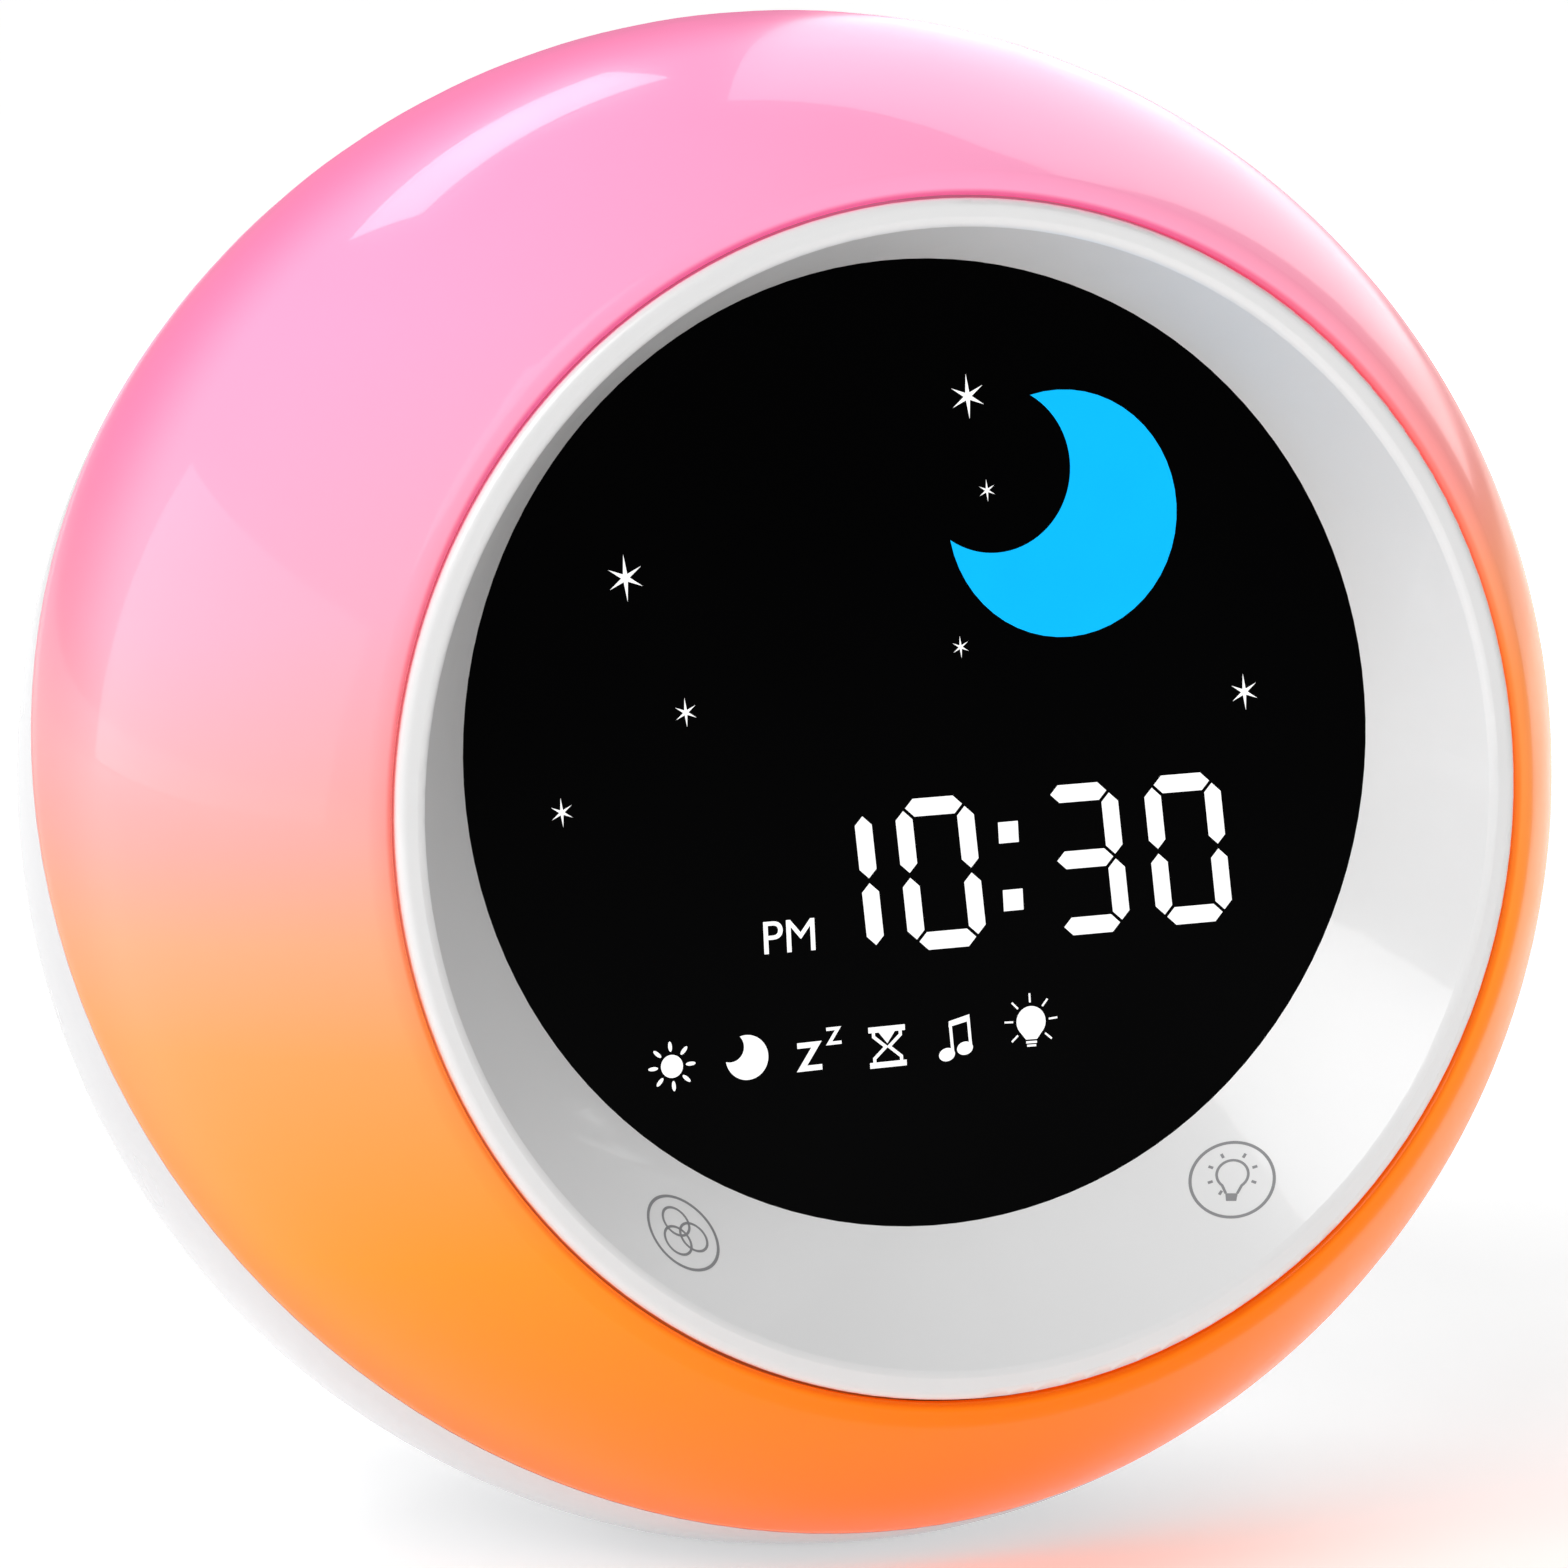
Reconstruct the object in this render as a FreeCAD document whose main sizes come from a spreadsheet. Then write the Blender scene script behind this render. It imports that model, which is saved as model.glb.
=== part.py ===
import FreeCAD, Part
import math
import os
import re

import Sketcher
from FreeCAD import Vector

# Kids alarm clock with a night light: a ball of two half spheroids, a dished face and a black display.
# Millimetres. The origin is the centre of the rubber foot ring on the table; the face looks along -Y.

doc = FreeCAD.newDocument("night_light_clock")

SIZES = {
    # Ball: the widest ring lies in the seam between the light dome and the rear shell
    "ball_radius": 70,
    "dome_rise": 73.4,
    "rear_rise": 62.2,
    "seam_tilt": 25.7,
    "dome_wall": 2.2,
    "shell_wall": 2.2,
    # Face: the dome's mouth and the dished bezel in it
    "face_tilt": 4.9,
    "mouth_radius": 51.75,
    "mouth_land": 1.45,
    "mouth_rounding": 0.9,
    "bezel_gap": 0.25,
    "bezel_proud": 0.6,
    "lip_width": 2.3,
    "lip_rounding": 0.9,
    "cone_depth": 10.4,
    "cone_wall": 1.8,
    "skirt_depth": 6,
    "collar_wall": 2.3,
    # Display stack behind the bezel's cone
    "cone_run": 2.8,
    "display_rise": 4.3,
    "lens_lap": 1.4,
    "lens_thick": 2,
    "film_thick": 0.3,
    "light_box_depth": 8,
    "board_thick": 1.6,
    "retainer_thick": 1.2,
    "retainer_width": 8,
    "side_gap": 0.2,
    "digit_wide": 8.2,
    "digit_tall": 13.2,
    "digit_pitch": 11.6,
    "moon_window": 10.5,
    "icon_window": 4.6,
    "icon_pitch": 6.9,
    "led_size": 2.4,
    "led_tall": 0.8,
    "chip_size": 10,
    "chip_tall": 1.4,
    # Posts that carry the bezel on the reflector plate
    "post_radius": 3.6,
    "post_lap": 0.8,
    "post_floor": 2,
    "screw_head": 1.9,
    "screw_head_tall": 1.4,
    "screw_shank": 0.9,
    "screw_bite": 6,
    "thread_gap": 0.05,
    "hole_gap": 0.25,
    # Touch electrodes behind the cone
    "foil_radius": 4.6,
    "foil_thick": 0.3,
    "touch_turn": 33,
    # Reflector plate and the ring of night-light lamps on it
    "plate_thick": 2,
    "plate_gap": 0.4,
    "case_inset": 15.4,
    "case_post_length": 6,
    "case_post_radius": 3.4,
    "case_boss_radius": 4.2,
    "case_turn_high": 15,
    "case_turn_low": 55,
    "case_head": 2.6,
    "case_shank": 1.3,
    "ring_margin": 2,
    "ring_width": 6.8,
    "ring_thick": 1.2,
    "lamp_size": 4.6,
    "lamp_tall": 1.6,
    # Main board behind the reflector plate
    "main_wide": 58,
    "main_tall": 34,
    "main_rise": 4,
    "main_standoff": 8,
    "main_post": 2.6,
    "main_inset": 4,
    "capacitor_radius": 2.5,
    "capacitor_tall": 6,
    # Rear panel, keys and switches
    "back_radius": 40,
    "panel_margin": 2,
    "panel_thick": 2,
    "ledge_width": 5,
    "ledge_thick": 1.8,
    "ledge_wall": 3.4,
    "panel_screw_head": 2,
    "panel_screw_shank": 0.8,
    "key_row": 21.5,
    "key_pitch": 10,
    "key_radius": 4,
    "key_proud": 1.2,
    "key_edge": 0.5,
    "key_gap": 0.2,
    "key_stop_gap": 0.3,
    "key_flange_lap": 0.6,
    "key_flange_thick": 0.9,
    "key_travel": 0.8,
    "stem_radius": 1.2,
    "stem_reach": 1.5,
    "stem_gap": 0.2,
    "switch_size": 6,
    "switch_tall": 3.5,
    "switch_drop": 4,
    "key_board_wide": 36,
    "key_board_tall": 11,
    "key_board_shift": 0.5,
    "key_post_radius": 1.7,
    "key_post_out": 4.5,
    "usb_wide": 9,
    "usb_tall": 3.3,
    "usb_wall": 0.35,
    "usb_depth": 6.4,
    "usb_sunk": 0.5,
    # Backup battery tray and its door
    "tray_tall": 25,
    "tray_depth": 13,
    "tray_wall": 1.4,
    "door_gap": 0.25,
    "door_thick": 1.6,
    "hinge_radius": 1.4,
    "hinge_pin": 0.8,
    "hinge_pin_gap": 0.08,
    "hinge_pin_length": 1.3,
    "thumb_radius": 5,
    "thumb_depth": 0.8,
    "cell_radius": 5.2,
    "cell_length": 43.3,
    "cell_pitch": 11,
    "nub_radius": 1.9,
    "nub_length": 1,
    "contact_thick": 0.4,
    "contact_size": 8,
    "spring_radius": 2.8,
    "spring_length": 3.95,
    # Speaker in the lower back of the rear shell
    "speaker_tilt": 40,
    "speaker_radius": 12,
    "speaker_gap": 0.25,
    "speaker_boss_wall": 3.2,
    "speaker_sunk": 3.6,
    "speaker_ledge": 1.2,
    "speaker_flange": 1.4,
    "speaker_depth": 5,
    "basket_wall": 0.8,
    "magnet_radius": 6.5,
    "magnet_tall": 3.6,
    "clamp_thick": 1.2,
    "grille_hole": 0.9,
    "grille_pitch": 3.4,
    "speaker_shank": 0.8,
    "speaker_head": 1.5,
    # Rubber foot ring
    "foot_flat": 22,
    "foot_shift": 2.6,
    "foot_margin": 5,
    "foot_width": 4,
    "foot_proud": 1.3,
    "foot_seat": 0.7,
    "foot_edge": 0.4,
}

sheet = doc.addObject("Spreadsheet::Sheet", "dims")
for row, (name, size) in enumerate(SIZES.items(), start=1):
    sheet.set(f"A{row}", name)
    sheet.set(f"B{row}", str(size))
    sheet.setAlias(f"B{row}", name)
doc.recompute()


# Sizes that follow from others, as formulas in the sheet's names

DERIVED = {
    "display_radius": "(mouth_radius - bezel_gap - lip_width - display_rise - cone_run)",
    "post_circle": "(display_radius + lens_lap + side_gap + collar_wall + post_radius - post_lap)",
    "plate_radius": "(ball_radius - shell_wall - plate_gap)",
    "case_circle": "(plate_radius - case_inset)",
    "ring_outer": "(plate_radius - ring_margin)",
    "ring_inner": "(plate_radius - ring_margin - ring_width)",
    "panel_radius": "(back_radius - panel_margin)",
    "tray_wide": "(cell_length + 2 * spring_length + 2 * contact_thick)",
    "foot_outer": "(foot_flat - foot_margin)",
}


def bound(text):
    """Write out the derived sizes of a formula, and name the sheet in front of each size in it."""
    for _ in DERIVED:
        text = re.sub(r"[a-z][a-z_]*", lambda word: DERIVED.get(word[0], word[0]), text)
    return re.sub(r"[a-z][a-z_]*", lambda word: "dims." + word[0] if word[0] in SIZES else word[0], text)


def spot(x="0", y="0", z="0", turn="0", about="0; 0; 1"):
    """A placement as a formula: a shift, and a turn in degrees about an axis."""
    return (
        f"create(<<placement>>; create(<<vector>>; {x}; {y}; {z}); "
        f"create(<<rotation>>; create(<<vector>>; {about}); {turn}))"
    )


ABOUT_X = "1; 0; 0"
ABOUT_Y = "0; 1; 0"

# A flat cut across a tilted half spheroid is nearly round. Its distance from the centre follows from
# its radius, and its middle lies off the axis by a small share of that distance.
BETWEEN = "(seam_tilt - face_tilt)"
DOME_REACH = f"sqrt((dome_rise * cos{BETWEEN})^2 + (ball_radius * sin{BETWEEN})^2)"
FACE_OUT = f"({DOME_REACH} * sqrt(1 - ((mouth_radius + mouth_land) / ball_radius)^2))"
FACE_UP = (
    f"({FACE_OUT} * (dome_rise^2 - ball_radius^2) * sin{BETWEEN} * cos{BETWEEN} / {DOME_REACH}^2)"
)
TILTED = "(ball_radius^2 - rear_rise^2) * sin(seam_tilt) * cos(seam_tilt)"
BACK_REACH = "sqrt((rear_rise * cos(seam_tilt))^2 + (ball_radius * sin(seam_tilt))^2)"
BACK_OUT = f"({BACK_REACH} * sqrt(1 - (back_radius / ball_radius)^2))"
BACK_UP = f"({BACK_OUT} * {TILTED} / {BACK_REACH}^2)"
FOOT_REACH = "sqrt((rear_rise * sin(seam_tilt))^2 + (ball_radius * cos(seam_tilt))^2)"
FOOT_DROP = f"({FOOT_REACH} * sqrt(1 - (foot_flat / ball_radius)^2))"
BALL_BACK = f"({FOOT_DROP} * {TILTED} / {FOOT_REACH}^2 - foot_shift)"
BALL_HEIGHT = f"({FOOT_DROP} + foot_proud)"
SPEAKER_TURN = "(90 - seam_tilt - speaker_tilt)"
SPEAKER_OUT = (
    f"(1 / sqrt((cos{SPEAKER_TURN} / rear_rise)^2 + (sin{SPEAKER_TURN} / ball_radius)^2)"
    " - shell_wall - speaker_sunk)"
)

# Frames: each has its z axis along the way its pieces are put in
BALL = spot("0", BALL_BACK, BALL_HEIGHT)
SEAM = f"{BALL} * {spot(turn='90 - seam_tilt', about=ABOUT_X)}"
FACE = f"{BALL} * {spot(turn='90 - face_tilt', about=ABOUT_X)} * {spot('0', FACE_UP, FACE_OUT)}"
SCREEN = f"{FACE} * {spot('0', 'display_rise', '-cone_depth')}"
BACK = (
    f"{spot('0', BALL_BACK + ' + ' + BACK_OUT, BALL_HEIGHT + ' + ' + BACK_UP, turn='180')}"
    f" * {spot(turn='90', about=ABOUT_X)}"
)
SPEAKER = f"{BALL} * {spot(turn='180 + speaker_tilt', about=ABOUT_X)} * {spot(z=SPEAKER_OUT)}"
FLOOR = spot()

# A length past every piece, for cutting tools that only have to be long enough
FAR = "(3 * ball_radius)"


# Solids: primitives and sketches whose sizes are formulas

def made(kind, name, frame, **sizes):
    """One parametric primitive, sized by formulas and placed in a frame."""
    thing = doc.addObject(kind, name)
    for size, text in sizes.items():
        thing.setExpression(size, bound(text))
    thing.setExpression("Placement", bound(frame))
    return thing


def disc(name, frame, radius, low, high, x="0", y="0"):
    """A cylinder between two heights of a frame."""
    place = f"{frame} * {spot(x, y, low)}"
    return made("Part::Cylinder", name, place, Radius=radius, Height=f"({high}) - ({low})")


def block(name, frame, wide, tall, low, high, x="0", y="0"):
    """A box centred on x, y of a frame, between two heights."""
    place = f"{frame} * {spot(f'({x}) - ({wide}) / 2', f'({y}) - ({tall}) / 2', low)}"
    return made("Part::Box", name, place, Length=wide, Width=tall, Height=f"({high}) - ({low})")


def spheroid(name, radius, rise, low_angle, high_angle):
    """Part of a spheroid about the seam's centre, as deep as its rise along the seam's axis."""
    ball = made("Part::Ellipsoid", name, SEAM, Radius1=rise, Radius2=radius, Radius3=radius)
    ball.Angle1 = low_angle
    ball.Angle2 = high_angle
    return ball


def join(name, *things):
    """The union of several solids."""
    union = doc.addObject("Part::MultiFuse", name)
    union.Shapes = list(things)
    return union


def cut(name, base, *tools):
    """A solid less its tools."""
    result = doc.addObject("Part::Cut", name)
    result.Base = base
    result.Tool = tools[0] if len(tools) == 1 else join(name + "_tools", *tools)
    return result


def shared(name, first, second):
    """What two solids have in common."""
    result = doc.addObject("Part::Common", name)
    result.Base = first
    result.Tool = second
    return result


def group(name, things):
    """Separate solids of one kind, kept as one sub-part."""
    result = doc.addObject("Part::Compound", name)
    result.Links = list(things)
    return result


def on_plane(body, sketch, role):
    """Attach a sketch to one of its own body's planes."""
    plane = [feature for feature in body.Origin.OriginFeatures if feature.Role == role][0]
    sketch.AttachmentSupport = [(plane, "")]
    sketch.MapMode = "FlatFace"


def pin_point(sketch, line, end, x, y):
    """Fix one point of a sketch at two formulas."""
    for axis, formula, sketch_axis in (("DistanceX", x, -2), ("DistanceY", y, -1)):
        if formula == "0":
            sketch.addConstraint(Sketcher.Constraint("PointOnObject", line, end, sketch_axis))
            continue
        number = sketch.addConstraint(Sketcher.Constraint(axis, -1, 1, line, end, 1.0))
        sketch.setExpression(f"Constraints[{number}]", bound(formula))


def turned(name, frame, profile):
    """A body turned about the frame's z axis from a profile of radius and height formulas."""
    body = doc.addObject("PartDesign::Body", name)
    sketch = body.newObject("Sketcher::SketchObject", name + "_profile")
    on_plane(body, sketch, "XZ_Plane")
    count = len(profile)
    start = [Vector(20 + 9 * math.cos(6 * k / count), 9 * math.sin(6 * k / count), 0) for k in range(count)]
    for k in range(count):
        sketch.addGeometry(Part.LineSegment(start[k], start[(k + 1) % count]), False)
    for k in range(count):
        sketch.addConstraint(Sketcher.Constraint("Coincident", k, 2, (k + 1) % count, 1))
    for k, (radius, height) in enumerate(profile):
        pin_point(sketch, k, 1, radius, height)
    turn = body.newObject("PartDesign::Revolution", name + "_turn")
    turn.Profile = sketch
    turn.ReferenceAxis = (sketch, ["V_Axis"])
    turn.Angle = 360
    body.setExpression("Placement", bound(frame))
    return body


def sketch_circle(sketch, x, y, radius):
    """A circle of a sketch, centred and sized by formulas."""
    number = sketch.addGeometry(Part.Circle(Vector(1, 1, 0), Vector(0, 0, 1), 2), False)
    pin_point(sketch, number, 3, x, y)
    size = sketch.addConstraint(Sketcher.Constraint("Radius", number, 2.0))
    sketch.setExpression(f"Constraints[{size}]", bound(radius))


def sketch_box(sketch, x, y, wide, tall):
    """A rectangle of a sketch, centred and sized by formulas."""
    corners = [Vector(-1, -1, 0), Vector(1, -1, 0), Vector(1, 1, 0), Vector(-1, 1, 0)]
    first = sketch.GeometryCount
    for k in range(4):
        sketch.addGeometry(Part.LineSegment(corners[k], corners[(k + 1) % 4]), False)
    for k in range(4):
        sketch.addConstraint(Sketcher.Constraint("Coincident", first + k, 2, first + (k + 1) % 4, 1))
        side = "Horizontal" if k % 2 == 0 else "Vertical"
        sketch.addConstraint(Sketcher.Constraint(side, first + k))
    pin_point(sketch, first, 1, f"({x}) - ({wide}) / 2", f"({y}) - ({tall}) / 2")
    pin_point(sketch, first + 2, 1, f"({x}) + ({wide}) / 2", f"({y}) + ({tall}) / 2")


def slab(name, frame, low, thick, circles=(), boxes=()):
    """A body padded from a sketch of circles and boxes; the outermost one is its edge."""
    body = doc.addObject("PartDesign::Body", name)
    sketch = body.newObject("Sketcher::SketchObject", name + "_outline")
    on_plane(body, sketch, "XY_Plane")
    for circle in circles:
        sketch_circle(sketch, *circle)
    for box in boxes:
        sketch_box(sketch, *box)
    pad = body.newObject("PartDesign::Pad", name + "_pad")
    pad.Profile = sketch
    pad.setExpression("Length", bound(thick))
    body.setExpression("Placement", bound(f"{frame} * {spot(z=low)}"))
    return body


def around(circle, angle):
    """The x and y formulas of a point on a circle."""
    return f"{circle} * cos({angle})", f"{circle} * sin({angle})"


def screw(name, frame, x, y, seat, head, head_tall, shank, length):
    """A pan-head screw with a cross recess; its head stands below the seat, its shank above."""
    under = f"({seat}) - ({head_tall})"
    solid = join(
        name + "_blank",
        disc(name + "_head", frame, head, under, seat, x, y),
        disc(name + "_shank", frame, shank, f"({seat}) - ({head_tall}) / 2", f"({seat}) + ({length})", x, y),
    )
    recess = f"({under}) + ({head_tall}) / 2"
    slots = (
        block(name + "_slot", frame, f"{head} * 1.1", f"{head} * 0.25", under, recess, x, y),
        block(name + "_cross", frame, f"{head} * 0.25", f"{head} * 1.1", under, recess, x, y),
    )
    return cut(name, solid, *slots)


SUBPARTS = []


def keep(label, thing):
    """Name a finished sub-part."""
    thing.Label = label
    SUBPARTS.append(thing)
    return thing


# Light dome: a translucent half spheroid with a round mouth whose edge is rolled over

dome_blank = spheroid("dome_blank", "ball_radius", "dome_rise", 0, 90)
dome_cut = cut(
    "dome_cut",
    dome_blank,
    spheroid("dome_hollow", "ball_radius - dome_wall", "dome_rise - dome_wall", -5, 90),
    disc("dome_mouth", FACE, "mouth_radius", "-2 * cone_depth", FAR),
    block("dome_front", FACE, FAR, FAR, "0", FAR),
)
doc.recompute()


def rim_edges(thing, frame_z, least):
    """Numbers of the edges that lie flat at a height of the face's frame, outside a radius."""
    place = face_marker.Placement.inverse()
    numbers = []
    for number, edge in enumerate(thing.Shape.Edges, start=1):
        points = [place.multVec(point) for point in edge.discretize(9)]
        flat = all(abs(point.z - frame_z) < 1e-4 for point in points)
        if flat and all(math.hypot(point.x, point.y) > least for point in points):
            numbers.append(number)
    return numbers


face_marker = disc("face_marker", FACE, "mouth_land", "0", "mouth_land")
doc.recompute()
light_dome = doc.addObject("Part::Fillet", "light_dome")
light_dome.Base = dome_cut
half_land = (sheet.mouth_radius + sheet.mouth_radius + sheet.mouth_land) / 2
rolled = min(sheet.mouth_rounding, 0.7 * sheet.mouth_land)
light_dome.Edges = [(number, rolled, rolled) for number in rim_edges(dome_cut, 0, half_land)]
keep("light_dome", light_dome)

# Front bezel: a rounded lip, an off-centre dished cone down to the display, and a collar behind it

LIP_RADIUS = "(mouth_radius - bezel_gap)"
CONE_MOUTH = "(mouth_radius - bezel_gap - lip_width)"
LENS_RADIUS = "(display_radius + lens_lap)"
COLLAR_INNER = f"({LENS_RADIUS} + side_gap)"
COLLAR_OUTER = f"({COLLAR_INNER} + collar_wall)"
BOX_BACK = "(lens_thick + film_thick + light_box_depth)"
BOARD_BACK = f"({BOX_BACK} + board_thick)"
RETAINER_BACK = f"({BOARD_BACK} + retainer_thick)"
POST_TURNS = (30, 150, 270)


def oblique_cone(name, front_radius, back_radius):
    """The slanted cone between the lip's circle and the display's off-centre circle."""
    body = doc.addObject("PartDesign::Body", name)
    sketches = []
    ends = ((front_radius, "0", "bezel_proud"), (back_radius, "display_rise", "-cone_depth"))
    for radius, y, z in ends:
        sketch = body.newObject("Sketcher::SketchObject", name + "_ring")
        on_plane(body, sketch, "XY_Plane")
        sketch.setExpression("AttachmentOffset", bound(spot(z=z)))
        sketch_circle(sketch, "0", y, radius)
        sketches.append(sketch)
    loft = body.newObject("PartDesign::AdditiveLoft", name + "_loft")
    loft.Profile = sketches[0]
    loft.Sections = [sketches[1]]
    loft.Ruled = True
    body.setExpression("Placement", bound(FACE))
    return body


bezel_blank = join(
    "bezel_blank",
    oblique_cone("cone_outside", LIP_RADIUS, "display_radius + cone_wall"),
    disc("bezel_skirt", FACE, LIP_RADIUS, "-skirt_depth", "bezel_proud"),
    disc("bezel_collar", SCREEN, COLLAR_OUTER, f"-{BOX_BACK}", "cone_wall"),
    *[
        disc(f"bezel_post_{turn}", SCREEN, "post_radius", f"-{BOARD_BACK}", "cone_wall",
             *around("post_circle", turn))
        for turn in POST_TURNS
    ],
)
bezel_hollows = (
    cut(
        "skirt_hollow",
        disc("skirt_room", FACE, f"{LIP_RADIUS} - cone_wall", "-skirt_depth", "-cone_wall"),
        oblique_cone("cone_kept", LIP_RADIUS, "display_radius + cone_wall"),
        disc("collar_kept", SCREEN, COLLAR_OUTER, f"-{BOX_BACK}", "cone_wall"),
        *[
            disc(f"post_kept_{turn}", SCREEN, "post_radius", f"-{BOARD_BACK}", "cone_wall",
                 *around("post_circle", turn))
            for turn in POST_TURNS
        ],
    ),
    oblique_cone("cone_inside", CONE_MOUTH, "display_radius"),
    disc("lens_seat", SCREEN, COLLAR_INNER, f"-{BOARD_BACK}", "0"),
    *[
        disc(f"post_pilot_{turn}", SCREEN, "screw_shank + thread_gap", f"-{BOARD_BACK}",
             f"-{BOARD_BACK} + screw_bite", *around("post_circle", turn))
        for turn in POST_TURNS
    ],
)
bezel_cut = cut("bezel_cut", bezel_blank, *bezel_hollows)
doc.recompute()
front_bezel = doc.addObject("Part::Fillet", "front_bezel")
front_bezel.Base = bezel_cut
crest = min(sheet.lip_rounding, 0.45 * sheet.lip_width)
crest_least = sheet.mouth_radius - sheet.bezel_gap - 1.2 * sheet.lip_width
front_bezel.Edges = [
    (number, crest, crest) for number in rim_edges(bezel_cut, sheet.bezel_proud, crest_least)
]
keep("front_bezel", front_bezel)

# Display stack: lens, printed film, black light box with its windows, board, lamps and retainer

keep("display_lens", slab("lens", SCREEN, "-lens_thick", "lens_thick", [("0", "0", LENS_RADIUS)]))
STACK_RADIUS = f"({LENS_RADIUS} - side_gap)"
keep("display_film", slab("film", SCREEN, "-lens_thick - film_thick", "film_thick",
                          [("0", "0", STACK_RADIUS)]))

DIGITS = [(f"{place} * digit_pitch", "-display_rise") for place in (-1.5, -0.5, 0.5, 1.5)]
ICONS = [(f"{place} * icon_pitch", "-display_radius * 0.6") for place in (-2.5, -1.5, -0.5, 0.5, 1.5, 2.5)]
MOON = ("digit_pitch", "display_radius * 0.52")
keep(
    "light_box",
    slab(
        "box_of_light", SCREEN, f"-{BOX_BACK}", "light_box_depth",
        circles=[("0", "0", STACK_RADIUS), (*MOON, "moon_window")],
        boxes=[(x, y, "digit_wide", "digit_tall") for x, y in DIGITS]
        + [(x, y, "icon_window", "icon_window") for x, y in ICONS],
    ),
)
keep("display_board", slab("board_of_display", SCREEN, f"-{BOARD_BACK}", "board_thick",
                           [("0", "0", STACK_RADIUS)]))
lamp_places = [(x, f"{y} + {side} * digit_tall / 4") for x, y in DIGITS for side in (-1, 1)]
lamp_places += ICONS + [MOON]
keep(
    "display_leds",
    group("leds_of_display", [
        block(f"display_led_{k}", SCREEN, "led_size", "led_size", f"-{BOX_BACK}", f"-{BOX_BACK} + led_tall", x, y)
        for k, (x, y) in enumerate(lamp_places)
    ]),
)
keep("display_chip", block("chip_of_display", SCREEN, "chip_size", "chip_size",
                           f"-{BOARD_BACK} - chip_tall", f"-{BOARD_BACK}"))
keep(
    "display_retainer",
    slab(
        "retainer", SCREEN, f"-{RETAINER_BACK}", "retainer_thick",
        circles=[("0", "0", "post_circle + post_radius"),
                 ("0", "0", f"{STACK_RADIUS} - retainer_width + post_radius")]
        + [(*around("post_circle", turn), "screw_shank + hole_gap") for turn in POST_TURNS],
    ),
)

# Touch electrodes: copper foils stuck to the back of the cone, behind the two printed symbols

for side, label in ((-1, "touch_foil_colour"), (1, "touch_foil_light")):
    sleeve = cut(
        label + "_sleeve",
        oblique_cone(label + "_over", f"{LIP_RADIUS} + foil_thick", "display_radius + cone_wall + foil_thick"),
        oblique_cone(label + "_under", LIP_RADIUS, "display_radius + cone_wall"),
    )
    x, y = around(f"({LIP_RADIUS} + display_radius - display_rise) / 2", f"270 + {side} * touch_turn")
    punch = disc(label + "_punch", FACE, "foil_radius", "-cone_depth + cone_wall + foil_thick",
                 "-cone_wall - foil_thick", x, y)
    keep(label, shared(label + "_foil", sleeve, punch))

# Reflector plate: a white disc across the seam, with the bezel's posts in front and bosses behind

POST_TOP = f"-{RETAINER_BACK}"
CASE_SPOTS = [
    around("case_circle", "case_turn_high"),
    around("case_circle", "180 - case_turn_high"),
    around("case_circle", "180 + case_turn_low"),
    around("case_circle", "-case_turn_low"),
]
CASE_SEAT = "(-plate_thick - case_post_length)"
MAIN_SPOTS = [
    (f"{x} * (main_wide / 2 - main_inset)", f"main_rise + {y} * (main_tall / 2 - main_inset)")
    for x in (-1, 1) for y in (-1, 1)
]
MAIN_FRONT = "(-plate_thick - main_standoff)"
LAMP_CIRCLE = "(ring_inner + ring_outer) / 2"
LAMP_COUNT = 12
RING_SCREW_TURNS = (15, 105, 195, 285)

bezel_posts = shared(
    "bezel_posts",
    join("post_tubes", *[
        disc(f"post_tube_{turn}", SCREEN, "post_radius", f"-{FAR}", POST_TOP, *around("post_circle", turn))
        for turn in POST_TURNS
    ]),
    block("ahead_of_plate", SEAM, FAR, FAR, "-plate_thick / 2", FAR),
)
plate_blank = join(
    "plate_blank",
    disc("plate_disc", SEAM, "plate_radius", "-plate_thick", "0"),
    bezel_posts,
    *[
        disc(f"case_post_{k}", SEAM, "case_post_radius", CASE_SEAT, "-plate_thick / 2", x, y)
        for k, (x, y) in enumerate(CASE_SPOTS)
    ],
    *[
        disc(f"main_post_{k}", SEAM, "main_post", MAIN_FRONT, "-plate_thick / 2", x, y)
        for k, (x, y) in enumerate(MAIN_SPOTS)
    ],
)
plate_holes = [
    disc(f"post_bore_{turn}", SCREEN, "screw_head + hole_gap", f"-{FAR}", f"{POST_TOP} - post_floor",
         *around("post_circle", turn))
    for turn in POST_TURNS
]
plate_holes += [
    disc(f"post_hole_{turn}", SCREEN, "screw_shank + hole_gap", f"{POST_TOP} - 2 * post_floor", FAR,
         *around("post_circle", turn))
    for turn in POST_TURNS
]
plate_holes += [
    disc(f"case_pilot_{k}", SEAM, "case_shank + thread_gap", CASE_SEAT, "-plate_thick / 2", x, y)
    for k, (x, y) in enumerate(CASE_SPOTS)
]
plate_holes += [
    disc(f"main_pilot_{k}", SEAM, "screw_shank + thread_gap", MAIN_FRONT, "-plate_thick", x, y)
    for k, (x, y) in enumerate(MAIN_SPOTS)
]
plate_holes += [
    disc(f"ring_pilot_{turn}", SEAM, "screw_shank + thread_gap", "-plate_thick", "0",
         *around(LAMP_CIRCLE, turn))
    for turn in RING_SCREW_TURNS
]
keep("reflector_plate", cut("reflector", plate_blank, *plate_holes))

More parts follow.
